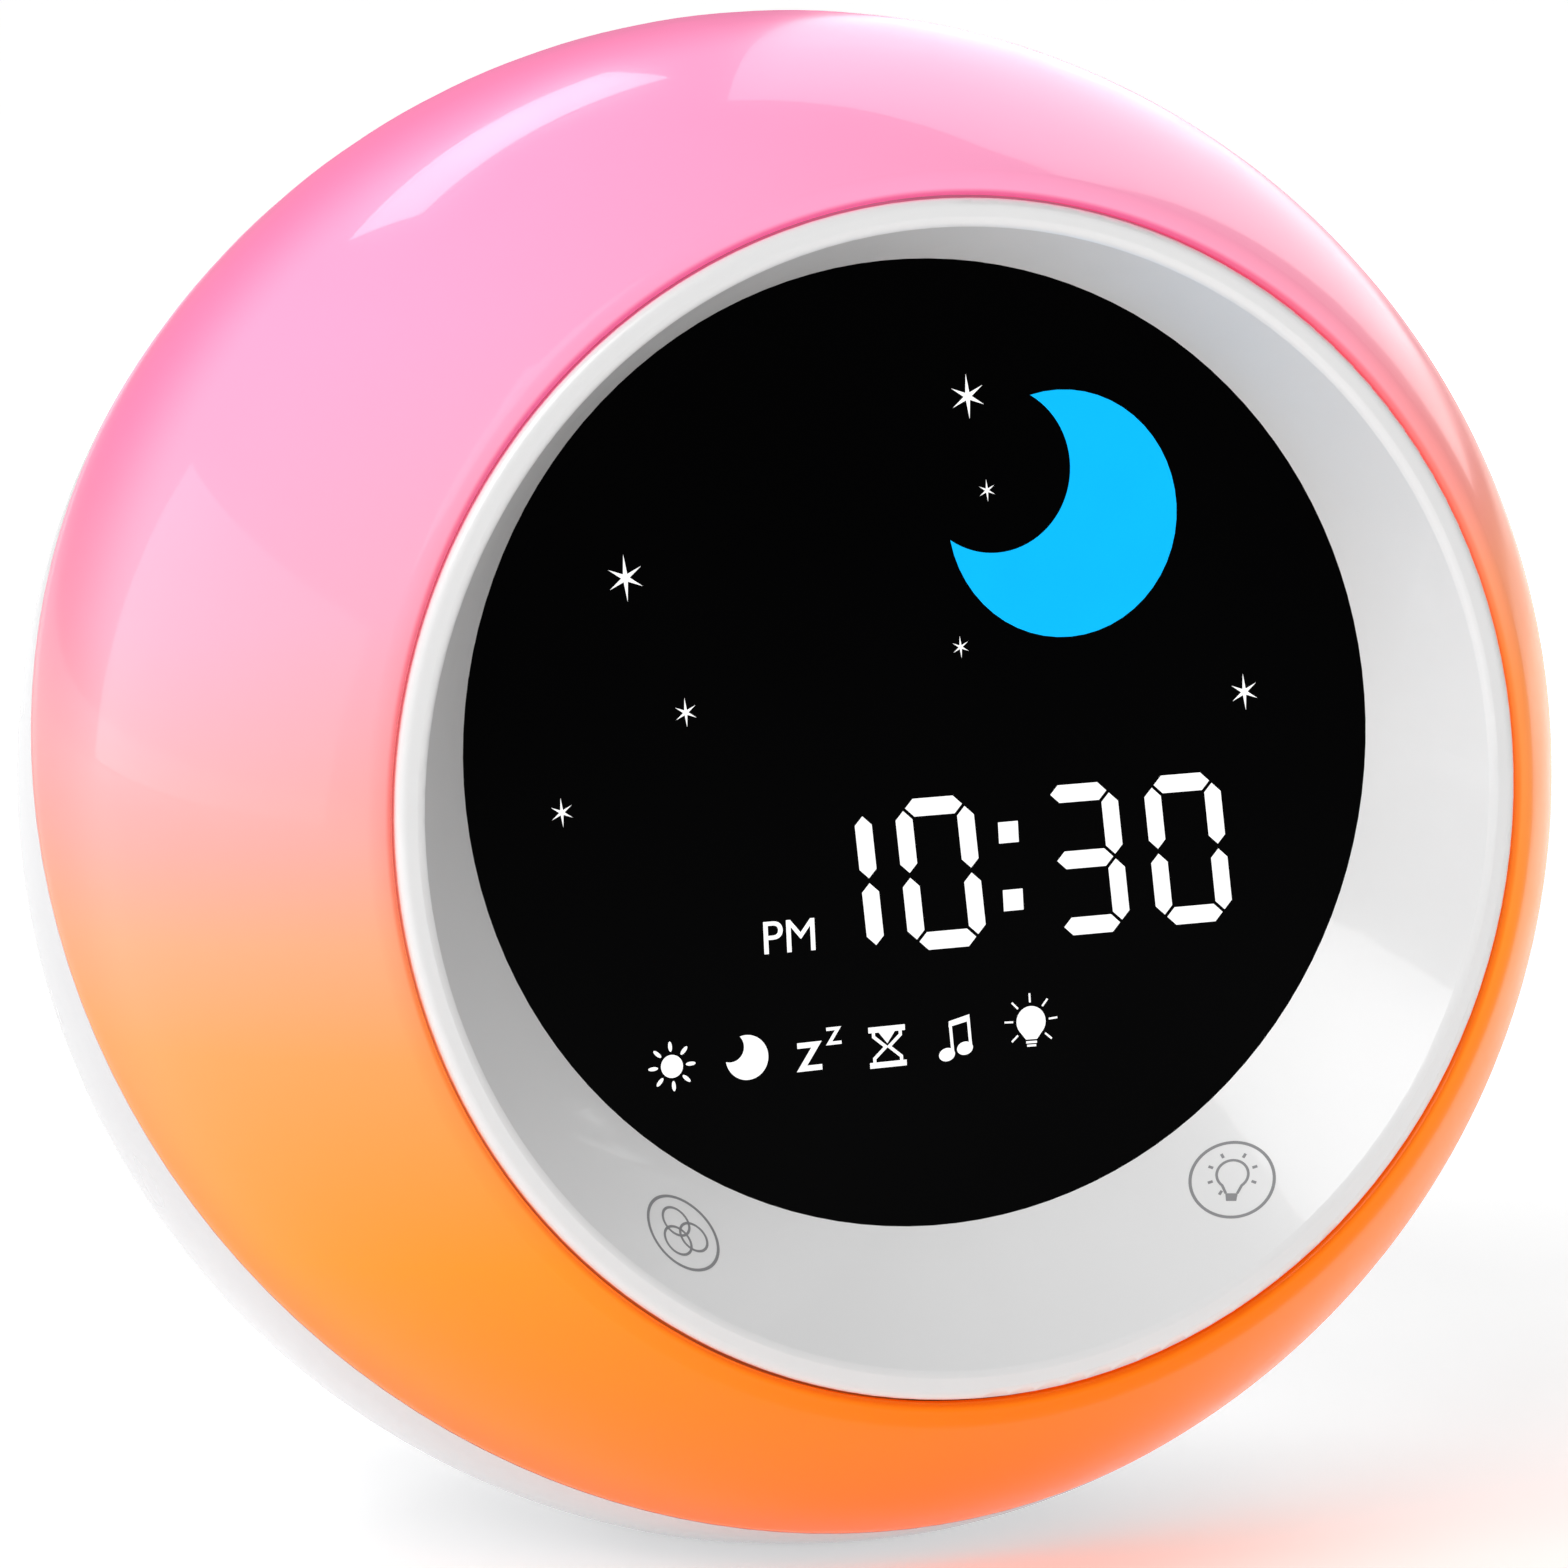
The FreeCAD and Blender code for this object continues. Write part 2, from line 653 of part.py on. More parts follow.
# Bezel screws, driven up the posts from behind the plate
keep("bezel_screws", group("screws_of_bezel", [
    screw(f"bezel_screw_{turn}", SCREEN, *around("post_circle", turn), f"{POST_TOP} - post_floor",
          "screw_head", "screw_head_tall", "screw_shank", "post_floor + retainer_thick + screw_bite * 0.9")
    for turn in POST_TURNS
]))

# Night light: a ring board with twelve lamps on the front of the plate

keep("led_ring_board", slab(
    "ring_board", SEAM, "0", "ring_thick",
    circles=[("0", "0", "ring_outer"), ("0", "0", "ring_inner")]
    + [(*around(LAMP_CIRCLE, turn), "screw_shank + hole_gap") for turn in RING_SCREW_TURNS],
))
keep("night_leds", group("lamps_of_night", [
    block(f"night_led_{k}", f"{SEAM} * {spot(turn=str(k * 360 / LAMP_COUNT))}", "lamp_size", "lamp_size",
          "ring_thick", "ring_thick + lamp_tall", LAMP_CIRCLE)
    for k in range(LAMP_COUNT)
]))
FLIPPED = spot(turn="180", about=ABOUT_X)
keep("led_board_screws", group("screws_of_ring", [
    screw(f"ring_screw_{turn}", f"{SEAM} * {spot(turn=str(turn))} * {FLIPPED}", LAMP_CIRCLE, "0",
          "-ring_thick", "screw_head", "screw_head_tall", "screw_shank", "ring_thick + plate_thick * 0.8")
    for turn in RING_SCREW_TURNS
]))

# Main board behind the plate

MAIN_BACK = f"({MAIN_FRONT} - board_thick)"
keep("main_board", slab(
    "board_of_main", SEAM, MAIN_BACK, "board_thick",
    circles=[(x, y, "screw_shank + hole_gap") for x, y in MAIN_SPOTS],
    boxes=[("0", "main_rise", "main_wide", "main_tall")],
))
keep("main_chip", block("chip_of_main", SEAM, "chip_size", "chip_size", f"{MAIN_BACK} - chip_tall", MAIN_BACK,
                        "0", "main_rise"))
keep("main_capacitors", group("capacitors", [
    disc(f"capacitor_{k}", SEAM, "capacitor_radius", f"{MAIN_BACK} - capacitor_tall", MAIN_BACK,
         f"main_wide * 0.3 * {side}", "main_rise")
    for k, side in enumerate((-1, 1))
]))
keep("main_board_screws", group("screws_of_main", [
    screw(f"main_screw_{k}", SEAM, x, y, MAIN_BACK, "screw_head", "screw_head_tall", "screw_shank",
          "board_thick + main_standoff * 0.6")
    for k, (x, y) in enumerate(MAIN_SPOTS)
]))

# Rear shell: a half spheroid cut flat at the back and at the foot, with its bosses, ledge and grille

rear_outside = shared(
    "rear_outside",
    spheroid("rear_ball", "ball_radius", "rear_rise", -90, 0),
    block("rear_limits", FLOOR, FAR, f"2 * ({BALL_BACK} + {BACK_OUT})", "foot_proud", FAR),
)
rear_inside = shared(
    "rear_inside",
    spheroid("rear_hollow", "ball_radius - shell_wall", "rear_rise - shell_wall", -90, 5),
    block("hollow_limits", FLOOR, FAR, f"2 * ({BALL_BACK} + {BACK_OUT} - shell_wall)",
          "foot_proud + shell_wall", FAR),
)
shell_added = shared(
    "shell_added",
    join(
        "shell_bosses",
        disc("ledge_disc", BACK, "panel_radius + ledge_wall", "-panel_thick - ledge_thick", "0"),
        *[
            disc(f"case_boss_{k}", SEAM, "case_boss_radius", f"-{FAR}", CASE_SEAT, x, y)
            for k, (x, y) in enumerate(CASE_SPOTS)
        ],
        disc("speaker_boss", SPEAKER, "speaker_radius + speaker_gap + speaker_boss_wall",
             "-speaker_flange", FAR),
    ),
    rear_outside,
)
SPEAKER_SCREW = "(speaker_radius + speaker_gap + speaker_boss_wall / 2)"
SPEAKER_TURNS = (30, 150, 270)
shell_holes = [
    disc("panel_recess", BACK, "panel_radius + side_gap", "-panel_thick", FAR),
    disc("panel_opening", BACK, "panel_radius - ledge_width", "-panel_thick - ledge_thick", FAR),
    disc("speaker_room", SPEAKER, "speaker_radius + speaker_gap", "-speaker_flange", "0"),
    disc("speaker_throat", SPEAKER, "speaker_radius - speaker_ledge", "0", "speaker_sunk * 0.6"),
    cut(
        "foot_groove",
        disc("groove_disc", FLOOR, "foot_outer", "0", "foot_proud + foot_seat"),
        disc("groove_core", FLOOR, "foot_outer - foot_width", "0", "foot_proud + foot_seat"),
    ),
]
shell_holes += [
    disc(f"case_bore_{k}", SEAM, "case_head + hole_gap", f"-{FAR}", f"{CASE_SEAT} - post_floor", x, y)
    for k, (x, y) in enumerate(CASE_SPOTS)
]
shell_holes += [
    disc(f"case_hole_{k}", SEAM, "case_shank + hole_gap", f"{CASE_SEAT} - 2 * post_floor", "0", x, y)
    for k, (x, y) in enumerate(CASE_SPOTS)
]
PANEL_TURNS = (90, 210, 330)
PANEL_CIRCLE = "(panel_radius - ledge_width / 2)"
shell_holes += [
    disc(f"panel_pilot_{turn}", BACK, "panel_screw_shank + thread_gap", "-panel_thick - ledge_thick",
         "-panel_thick", *around(PANEL_CIRCLE, turn))
    for turn in PANEL_TURNS
]
shell_holes += [
    disc(f"speaker_pilot_{turn}", SPEAKER, "speaker_shank + thread_gap", "-speaker_flange",
         "speaker_sunk * 0.6", *around(SPEAKER_SCREW, turn))
    for turn in SPEAKER_TURNS
]
grille = [("0", "0")]
grille += [around("grille_pitch", 60 * k) for k in range(6)]
grille += [around("2 * grille_pitch", 30 * k) for k in range(12)]
shell_holes += [
    disc(f"grille_{k}", SPEAKER, "grille_hole", "0", FAR, x, y) for k, (x, y) in enumerate(grille)
]
shell_blank = join("shell_blank", cut("shell_bowl", rear_outside, rear_inside), shell_added)
keep("rear_shell", cut("rear_half", shell_blank, *shell_holes))
keep("case_screws", group("screws_of_case", [
    screw(f"case_screw_{k}", SEAM, x, y, f"{CASE_SEAT} - post_floor", "case_head", "screw_head_tall",
          "case_shank", "post_floor + case_post_length * 0.8")
    for k, (x, y) in enumerate(CASE_SPOTS)
]))

# Rubber foot ring in a groove of the foot flat

keep("rubber_foot", turned("foot_ring", FLOOR, [
    ("foot_outer - foot_width", "foot_edge"),
    ("foot_outer - foot_width + foot_edge", "0"),
    ("foot_outer - foot_edge", "0"),
    ("foot_outer", "foot_edge"),
    ("foot_outer", "foot_proud + foot_seat"),
    ("foot_outer - foot_width", "foot_proud + foot_seat"),
]))

# Rear panel: a round plate with the battery tray, the key holes and the posts of the key boards

KEYS = {
    "key_up": ("-1.5 * key_pitch", "key_row"),
    "key_down": ("-0.5 * key_pitch", "key_row"),
    "key_alarm": ("0.5 * key_pitch", "key_row"),
    "key_clock": ("1.5 * key_pitch", "key_row"),
    "key_sound": ("-1.5 * key_pitch", "-key_row"),
    "key_timer": ("1.5 * key_pitch", "-key_row"),
}
KEY_BOARD_FRONT = "(-panel_thick - switch_drop - switch_tall)"
KEY_BOARD_BACK = f"({KEY_BOARD_FRONT} - board_thick)"
KEY_POSTS = [(f"{x} * key_pitch", f"{y} * (key_row + key_post_out)") for x in (-1, 1) for y in (-1, 1)]
HINGE_Y = "(-tray_tall / 2 + door_gap + hinge_radius)"
HINGE_AXIS = f"{BACK} * {spot('0', HINGE_Y, '-hinge_radius')} * {spot(turn='90', about=ABOUT_Y)}"


def obround(name, frame, wide, tall, low, high, x="0", y="0"):
    """A block with half-round ends."""
    reach = f"(({wide}) - ({tall})) / 2"
    return join(
        name,
        block(name + "_middle", frame, f"({wide}) - ({tall})", tall, low, high, x, y),
        disc(name + "_left", frame, f"({tall}) / 2", low, high, f"{x} - {reach}", y),
        disc(name + "_right", frame, f"({tall}) / 2", low, high, f"{x} + {reach}", y),
    )


panel_blank = join(
    "panel_blank",
    disc("panel_disc", BACK, "panel_radius", "-panel_thick", "0"),
    block("tray_outside", BACK, "tray_wide + 2 * tray_wall", "tray_tall + 2 * tray_wall",
          "-tray_depth - tray_wall", "-panel_thick / 2"),
    *[
        disc(f"key_post_{k}", BACK, "key_post_radius", KEY_BOARD_FRONT, "-panel_thick / 2", x, y)
        for k, (x, y) in enumerate(KEY_POSTS)
    ],
)
panel_holes = [
    block("tray_room", BACK, "tray_wide", "tray_tall", "-tray_depth", FAR),
    disc("hinge_bore", HINGE_AXIS, "hinge_pin + hinge_pin_gap", "-tray_wide / 2 - tray_wall * 0.95",
         "tray_wide / 2 + tray_wall * 0.95"),
    obround("usb_opening", BACK, "usb_wide + 2 * side_gap", "usb_tall + 2 * side_gap",
            "-panel_thick", FAR, "0", "-key_row"),
]
panel_holes += [
    disc(f"{key}_hole", BACK, "key_radius + key_gap", "-panel_thick", FAR, x, y)
    for key, (x, y) in KEYS.items()
]
panel_holes += [
    disc(f"key_pilot_{k}", BACK, "screw_shank + thread_gap", KEY_BOARD_FRONT, "-panel_thick", x, y)
    for k, (x, y) in enumerate(KEY_POSTS)
]
panel_holes += [
    disc(f"panel_hole_{turn}", BACK, "panel_screw_shank + hole_gap", "-panel_thick", "0",
         *around(PANEL_CIRCLE, turn))
    for turn in PANEL_TURNS
]
panel_holes += [
    disc(f"panel_sink_{turn}", BACK, "panel_screw_head + hole_gap", "-panel_thick / 2", FAR,
         *around(PANEL_CIRCLE, turn))
    for turn in PANEL_TURNS
]
keep("rear_panel", cut("panel_plate", panel_blank, *panel_holes))
keep("panel_screws", group("screws_of_panel", [
    screw(f"panel_screw_{turn}", f"{BACK} * {spot(*around(PANEL_CIRCLE, turn))} * {FLIPPED}", "0", "0",
          "panel_thick / 2", "panel_screw_head", "panel_thick * 0.45", "panel_screw_shank",
          "panel_thick / 2 + ledge_thick * 0.9")
    for turn in PANEL_TURNS
]))

# Keys: each cap stands through the panel, with a flange behind it and a switch stem under it

FLANGE_TOP = "(-panel_thick - key_stop_gap)"
FLANGE_BACK = f"({FLANGE_TOP} - key_flange_thick)"
SWITCH_FRONT = "(-panel_thick - switch_drop)"
STEM_END = f"({SWITCH_FRONT} - stem_reach)"
for key, (x, y) in KEYS.items():
    own = f"{BACK} * {spot(x, y)}"
    keep(key, turned(f"{key}_cap", own, [
        ("0", "key_proud"),
        ("key_radius - key_edge", "key_proud"),
        ("key_radius", "key_proud - key_edge"),
        ("key_radius", FLANGE_TOP),
        ("key_radius + key_flange_lap", FLANGE_TOP),
        ("key_radius + key_flange_lap", FLANGE_BACK),
        ("0", FLANGE_BACK),
    ]))
    keep(f"{key}_stem", disc(f"{key}_pin", own, "stem_radius", STEM_END, FLANGE_BACK))

keep("switch_bodies", group("switches", [
    cut(
        f"{key}_switch",
        block(f"{key}_housing", BACK, "switch_size", "switch_size", KEY_BOARD_FRONT, SWITCH_FRONT, x, y),
        disc(f"{key}_bore", BACK, "stem_radius + stem_gap", f"{STEM_END} - key_travel - stem_gap",
             SWITCH_FRONT, x, y),
    )
    for key, (x, y) in KEYS.items()
]))
for side, label in ((1, "upper_key_board"), (-1, "lower_key_board")):
    keep(label, slab(
        label + "_slab", BACK, KEY_BOARD_BACK, "board_thick",
        circles=[(x, y, "screw_shank + hole_gap") for x, y in KEY_POSTS if y.startswith(str(side))],
        boxes=[("0", f"{side} * (key_row + key_board_shift)", "key_board_wide", "key_board_tall + 2")],
    ))
keep("key_board_screws", group("screws_of_keys", [
    screw(f"key_screw_{k}", BACK, x, y, KEY_BOARD_BACK, "key_post_radius", "screw_head_tall", "screw_shank",
          "board_thick + switch_tall")
    for k, (x, y) in enumerate(KEY_POSTS)
]))

# Power inlet: an upright socket on the lower key board, with its tongue

USB_FRONT = "-usb_sunk"
usb_shell = cut(
    "usb_shell",
    obround("usb_outside", BACK, "usb_wide", "usb_tall", KEY_BOARD_FRONT, USB_FRONT, "0", "-key_row"),
    obround("usb_room", BACK, "usb_wide - 2 * usb_wall", "usb_tall - 2 * usb_wall",
            f"{USB_FRONT} - usb_depth", FAR, "0", "-key_row"),
)
usb_tongue = block("usb_tongue", BACK, "usb_wide * 0.74", "usb_tall * 0.22",
                   f"{USB_FRONT} - usb_depth - usb_wall", f"{USB_FRONT} - usb_wall * 2", "0", "-key_row")
keep("usb_socket", join("usb_inlet", usb_shell, usb_tongue))

# Backup cells, their contacts and the hinged door

CELL_Z = "(-tray_depth + cell_radius)"
cells = []
springs = []
contacts = []
for k, side in enumerate((-1, 1)):
    own = f"{BACK} * {spot('0', f'{side} * cell_pitch / 2', CELL_Z)} * {spot(turn=f'90 * {side}', about=ABOUT_Y)}"
    nub_end = "cell_length / 2 + nub_length"
    cells.append(join(
        f"cell_{k}",
        disc(f"cell_can_{k}", own, "cell_radius", "-cell_length / 2", "cell_length / 2"),
        disc(f"cell_nub_{k}", own, "nub_radius", "0", nub_end),
    ))
    springs.append(disc(f"spring_{k}", own, "spring_radius", "-tray_wide / 2 + contact_thick",
                        "-cell_length / 2"))
    flat_contact = block(f"contact_plate_{k}", own, "contact_size", "contact_size",
                         "tray_wide / 2 - contact_thick", "tray_wide / 2")
    contact_dimple = disc(f"contact_dimple_{k}", own, "nub_radius", nub_end, "tray_wide / 2")
    contacts.append(join(f"contact_{k}", flat_contact, contact_dimple))
    contacts.append(block(f"spring_plate_{k}", own, "contact_size", "contact_size",
                          "-tray_wide / 2", "-tray_wide / 2 + contact_thick"))
keep("backup_cells", group("cells", cells))
keep("battery_springs", group("springs", springs))
keep("battery_contacts", group("contacts", contacts))

DOOR_TOP = "(tray_tall / 2 - door_gap)"
door_blank = join(
    "door_blank",
    block("door_plate", BACK, "tray_wide - 2 * door_gap", f"{DOOR_TOP} - {HINGE_Y}", "-door_thick", "0",
          "0", f"({DOOR_TOP} + {HINGE_Y}) / 2"),
    disc("door_barrel", HINGE_AXIS, "hinge_radius", "-tray_wide / 2 + door_gap", "tray_wide / 2 - door_gap"),
    disc("door_pins", HINGE_AXIS, "hinge_pin", "-tray_wide / 2 - hinge_pin_length + door_gap",
         "tray_wide / 2 + hinge_pin_length - door_gap"),
)
thumb = disc("door_thumb", BACK, "thumb_radius", "-thumb_depth", FAR, "0", f"{DOOR_TOP} - thumb_radius / 4")
keep("battery_door", cut("door", door_blank, thumb))

# Speaker: basket, cone and magnet, held on the shell's boss by a clamp ring

BASKET_BACK = "(-speaker_flange - speaker_depth)"
keep("speaker_basket", turned("basket", SPEAKER, [
    ("speaker_radius - speaker_ledge", "0"),
    ("speaker_radius", "0"),
    ("speaker_radius", "-speaker_flange"),
    ("speaker_radius - speaker_boss_wall", "-speaker_flange"),
    ("magnet_radius + basket_wall", BASKET_BACK),
    ("0", BASKET_BACK),
    ("0", f"{BASKET_BACK} + basket_wall"),
    ("magnet_radius", f"{BASKET_BACK} + basket_wall"),
    ("speaker_radius - speaker_boss_wall - basket_wall", "-speaker_flange"),
]))
keep("speaker_cone", turned("paper_cone", SPEAKER, [
    ("speaker_radius - speaker_ledge", "0"),
    ("speaker_radius - speaker_boss_wall - basket_wall", "-speaker_flange"),
    ("magnet_radius / 2", "-speaker_depth"),
    ("0", "-speaker_depth * 0.8"),
    ("0", "-speaker_depth * 0.8 + basket_wall / 2"),
    ("magnet_radius / 2", "-speaker_depth + basket_wall / 2"),
    ("speaker_radius - speaker_boss_wall", "-speaker_flange / 2"),
]))
keep("speaker_magnet", disc("magnet", SPEAKER, "magnet_radius", f"{BASKET_BACK} - magnet_tall", BASKET_BACK))
keep("speaker_clamp", slab(
    "clamp_ring", SPEAKER, "-speaker_flange - clamp_thick", "clamp_thick",
    circles=[("0", "0", "speaker_radius + speaker_gap + speaker_boss_wall"),
             ("0", "0", "speaker_radius - speaker_ledge")]
    + [(*around(SPEAKER_SCREW, turn), "speaker_shank + hole_gap / 2") for turn in SPEAKER_TURNS],
))
keep("speaker_screws", group("screws_of_speaker", [
    screw(f"speaker_screw_{turn}", SPEAKER, *around(SPEAKER_SCREW, turn), "-speaker_flange - clamp_thick",
          "speaker_head", "screw_head_tall", "speaker_shank", "clamp_thick + speaker_flange")
    for turn in SPEAKER_TURNS
]))

# Every object is sound before a sub-part is written

doc.recompute()
faults = [thing.Name for thing in doc.Objects if {"Invalid", "Error"} & set(thing.State)]
for thing in SUBPARTS:
    if thing.Shape.isNull() or not thing.Shape.isValid() or not thing.Shape.Solids:
        faults.append(thing.Label)
if faults:
    raise SystemExit("These did not build: " + ", ".join(faults))

os.makedirs("parts", exist_ok=True)
for thing in SUBPARTS:
    thing.Shape.exportStep(f"parts/{thing.Label}.step")
    print(f"{thing.Label}: {len(thing.Shape.Solids)} solid(s), {thing.Shape.Volume:.1f} mm3")
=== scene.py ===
import math

import bmesh
import bpy
from mathutils import Matrix, Vector


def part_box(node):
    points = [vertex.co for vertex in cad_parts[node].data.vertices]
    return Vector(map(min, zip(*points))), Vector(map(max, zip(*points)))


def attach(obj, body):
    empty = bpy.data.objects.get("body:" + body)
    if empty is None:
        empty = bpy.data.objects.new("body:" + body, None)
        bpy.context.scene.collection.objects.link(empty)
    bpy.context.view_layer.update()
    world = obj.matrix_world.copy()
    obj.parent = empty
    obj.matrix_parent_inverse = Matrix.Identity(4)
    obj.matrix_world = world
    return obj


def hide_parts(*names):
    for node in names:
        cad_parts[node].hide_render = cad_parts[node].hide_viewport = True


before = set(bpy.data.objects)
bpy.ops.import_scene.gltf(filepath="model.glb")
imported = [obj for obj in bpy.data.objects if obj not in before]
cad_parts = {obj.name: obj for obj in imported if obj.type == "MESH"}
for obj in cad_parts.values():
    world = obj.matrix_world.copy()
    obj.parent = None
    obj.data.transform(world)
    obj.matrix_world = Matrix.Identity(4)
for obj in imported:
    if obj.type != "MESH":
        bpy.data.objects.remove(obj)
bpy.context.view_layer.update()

# Light dome: the front half of the ball, a half spheroid moulded in translucent plastic, lit from inside.
# Its round mouth is cut square to the face, with a rolled edge. It is bonded to the rear shell at the seam.

MM = 0.001
BALL_CENTRE = Vector((0, 2.976, 66.425)) * MM
BALL_RADIUS = 70 * MM
DOME_RISE = 73.4 * MM
DOME_WALL = 2.2 * MM
DOME_SIDES = 224
DOME_RINGS = 20
SEAM_TILT = 25.7
SEAM_ROUNDING = 0.25 * MM
FACE_TILT = 4.9
FACE_CENTRE = Vector((0, -44.157, 71.911)) * MM
MOUTH_RADIUS = 51.75 * MM
MOUTH_ROUNDING = 0.9 * MM
BORE_DEPTH = 30 * MM
JOINING = 0.001 * MM
SEAM_PLAY = 0.0001 * MM


def looking(origin, tilt):
    """A frame on the clock's front: z leaves the clock, tilted up by an angle, and y is up."""
    tilt = math.radians(tilt)
    out = Vector((0, -math.cos(tilt), math.sin(tilt)))
    up = Vector((0, math.sin(tilt), math.cos(tilt)))
    turn = Matrix((up.cross(out), up, out)).transposed().to_4x4()
    return Matrix.Translation(origin) @ turn


SEAM = looking(BALL_CENTRE, SEAM_TILT)
FACE = looking(FACE_CENTRE, FACE_TILT)


def meets_ball(start, way, radius, rise):
    """Where a line meets a half spheroid of the seam's frame, as a direction on the unit ball."""
    squeeze = Vector((1 / radius, 1 / radius, 1 / rise))
    near = squeeze * (SEAM.inverted() @ start)
    step = squeeze * (SEAM.to_3x3().inverted() @ way)
    square = step.dot(step)
    half = near.dot(step)
    length = (math.sqrt(half * half - square * (near.dot(near) - 1)) - half) / square
    return near + step * length


def loop_edges(ring):
    """The edges that close a ring of vertices, each once and in the ring's order."""
    members = set(ring)
    touching = [(vert, edge) for vert in ring for edge in vert.link_edges]
    return [edge for vert, edge in touching if edge.verts[0] == vert and edge.verts[1] in members]


def next_ring(shape, ring, spots):
    """Extrude a ring of vertices to new places; the new ring keeps the old one's order."""
    grown = set(bmesh.ops.extrude_edge_only(shape, edges=loop_edges(ring))["geom"])
    fresh = []
    for vert in ring:
        others = [edge.other_vert(vert) for edge in vert.link_edges]
        fresh.append(next(other for other in others if other in grown))
    for vert, spot in zip(fresh, spots):
        vert.co = spot
    return fresh


def rounded(shape, edges, size, steps):
    """Round edges over a distance, in a few steps."""
    bmesh.ops.bevel(
        shape,
        geom=edges,
        offset=size,
        offset_type="OFFSET",
        segments=steps,
        profile=0.5,
        affect="EDGES",
        material=-1,
    )


def dress(name, shape, body, material):
    """Turn a bmesh into a smooth piece of the clock that rides on a body."""
    bmesh.ops.recalc_face_normals(shape, faces=shape.faces)
    mesh = bpy.data.meshes.new(name)
    shape.to_mesh(mesh)
    shape.free()
    piece = bpy.data.objects.new(name, mesh)
    bpy.context.scene.collection.objects.link(piece)
    mesh.shade_smooth()
    mesh.materials.append(material)
    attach(piece, body)
    return piece


def feed(tree, socket, value):
    """Give a shader input a value or another node's output."""
    if isinstance(value, bpy.types.NodeSocket):
        tree.links.new(value, socket)
    else:
        socket.default_value = value


def add(tree, kind, settings=None, **inputs):
    """Add a shader node; inputs are named with _ for spaces and are values or other nodes' sockets."""
    made = tree.nodes.new("ShaderNode" + kind)
    for key, value in (settings or {}).items():
        setattr(made, key, value)
    for key, value in inputs.items():
        named = [socket for socket in made.inputs if socket.name == key.replace("_", " ")]
        feed(tree, next((socket for socket in named if socket.enabled), named[0]), value)
    return made


def worked(tree, kind, operation, *values):
    """The result of a Math or VectorMath node, its inputs fed in their order."""
    made = add(tree, kind, {"operation": operation})
    for socket, value in zip(made.inputs, values):
        feed(tree, socket, value)
    return next(socket for socket in made.outputs if socket.enabled)


def paint(red, green, blue):
    """A screen colour, 0 to 255, as a linear colour."""
    return tuple((value / 255) ** 2.2 for value in (red, green, blue)) + (1,)


def begin(name):
    """A new material with its shader tree, its principled shader and its object coordinates."""
    material = bpy.data.materials.new(name)
    material.use_nodes = True
    tree = material.node_tree
    shader = tree.nodes["Principled BSDF"]
    place = add(tree, "TexCoord").outputs["Object"]
    return material, tree, shader, place


def ramp(tree, share, *stops):
    """A colour ramp through (position, colour) stops: its two ends first, then those between."""
    made = add(tree, "ValToRGB", Fac=share)
    elements = made.color_ramp.elements
    for number, (position, colour) in enumerate(stops):
        element = elements[number] if number < 2 else elements.new(position)
        element.position = position
        element.color = colour
    return made.outputs["Color"]


def spread(tree, value, low, high, to_low=0.0, to_high=1.0, kind="SMOOTHSTEP"):
    """A value mapped from one range to another, smoothly unless another kind is named."""
    made = add(tree, "MapRange", {"interpolation_type": kind}, Value=value)
    for key, number in zip(("From Min", "From Max", "To Min", "To Max"), (low, high, to_low, to_high)):
        made.inputs[key].default_value = number
    return made.outputs["Result"]


def grain(tree, place, size, detail=2.0):
    """Noise whose lumps are about one size, in metres."""
    return add(tree, "TexNoise", Vector=place, Scale=1 / size, Detail=detail).outputs["Fac"]


def along(tree, place, direction):
    """The distance of a point along a direction."""
    return worked(tree, "VectorMath", "DOT_PRODUCT", place, direction)


# The colour sockets of a Mix node: the share, the two colours and the result
MIX_INPUTS = (0, 6, 7)
MIX_RESULT = 2


def blended(tree, share, first, second):
    """Two colours mixed by a share."""
    made = add(tree, "Mix", {"data_type": "RGBA"})
    for number, value in zip(MIX_INPUTS, (share, first, second)):
        feed(tree, made.inputs[number], value)
    return made.outputs[MIX_RESULT]


# Worn patches are this many times as wide as the lumps of the fine skin
WEAR_WIDTH = 18
BUMP_STRENGTH = 0.35


def rough_and_bump(tree, shader, place, roughness, change, lump, height):
    """Roughness that varies over the surface, and a fine bump."""
    patches = grain(tree, place, lump * WEAR_WIDTH, 3.0)
    wear = spread(tree, patches, 0.3, 0.7, roughness - change, roughness + change)
    feed(tree, shader.inputs["Roughness"], wear)
    skin = grain(tree, place, lump, 3.0)
    bump = add(tree, "Bump", Height=skin, Strength=BUMP_STRENGTH, Distance=height)
    feed(tree, shader.inputs["Normal"], bump.outputs["Normal"])


DYE_LEAN = (-0.25, 0, 1)
DYE_HEIGHT = 160 * MM
DYE_DRIFT = 6 * MM
DRIFT_LUMP = 60 * MM
# Painted shade on the dome: how far it reaches from the seam, its band at the mouth's rolled edge, and its
# band round the outline about an axis roughly toward the camera
PAINTED_SHADE_BY_SEAM = 9 * MM
PAINTED_SHADE_AT_RIM = (51.9 * MM, 52.4 * MM)
OUTLINE_AXIS = Vector((-0.17, -0.97, 0.17)).normalized()
PAINTED_SHADE_AT_OUTLINE = (64 * MM, 69.5 * MM)


def off_axis(tree, place, start, axis):
    """The distance of a point from an axis through a start."""
    away = worked(tree, "VectorMath", "SUBTRACT", place, start)
    across = worked(tree, "VectorMath", "CROSS_PRODUCT", away, axis)
    return worked(tree, "VectorMath", "LENGTH", across)


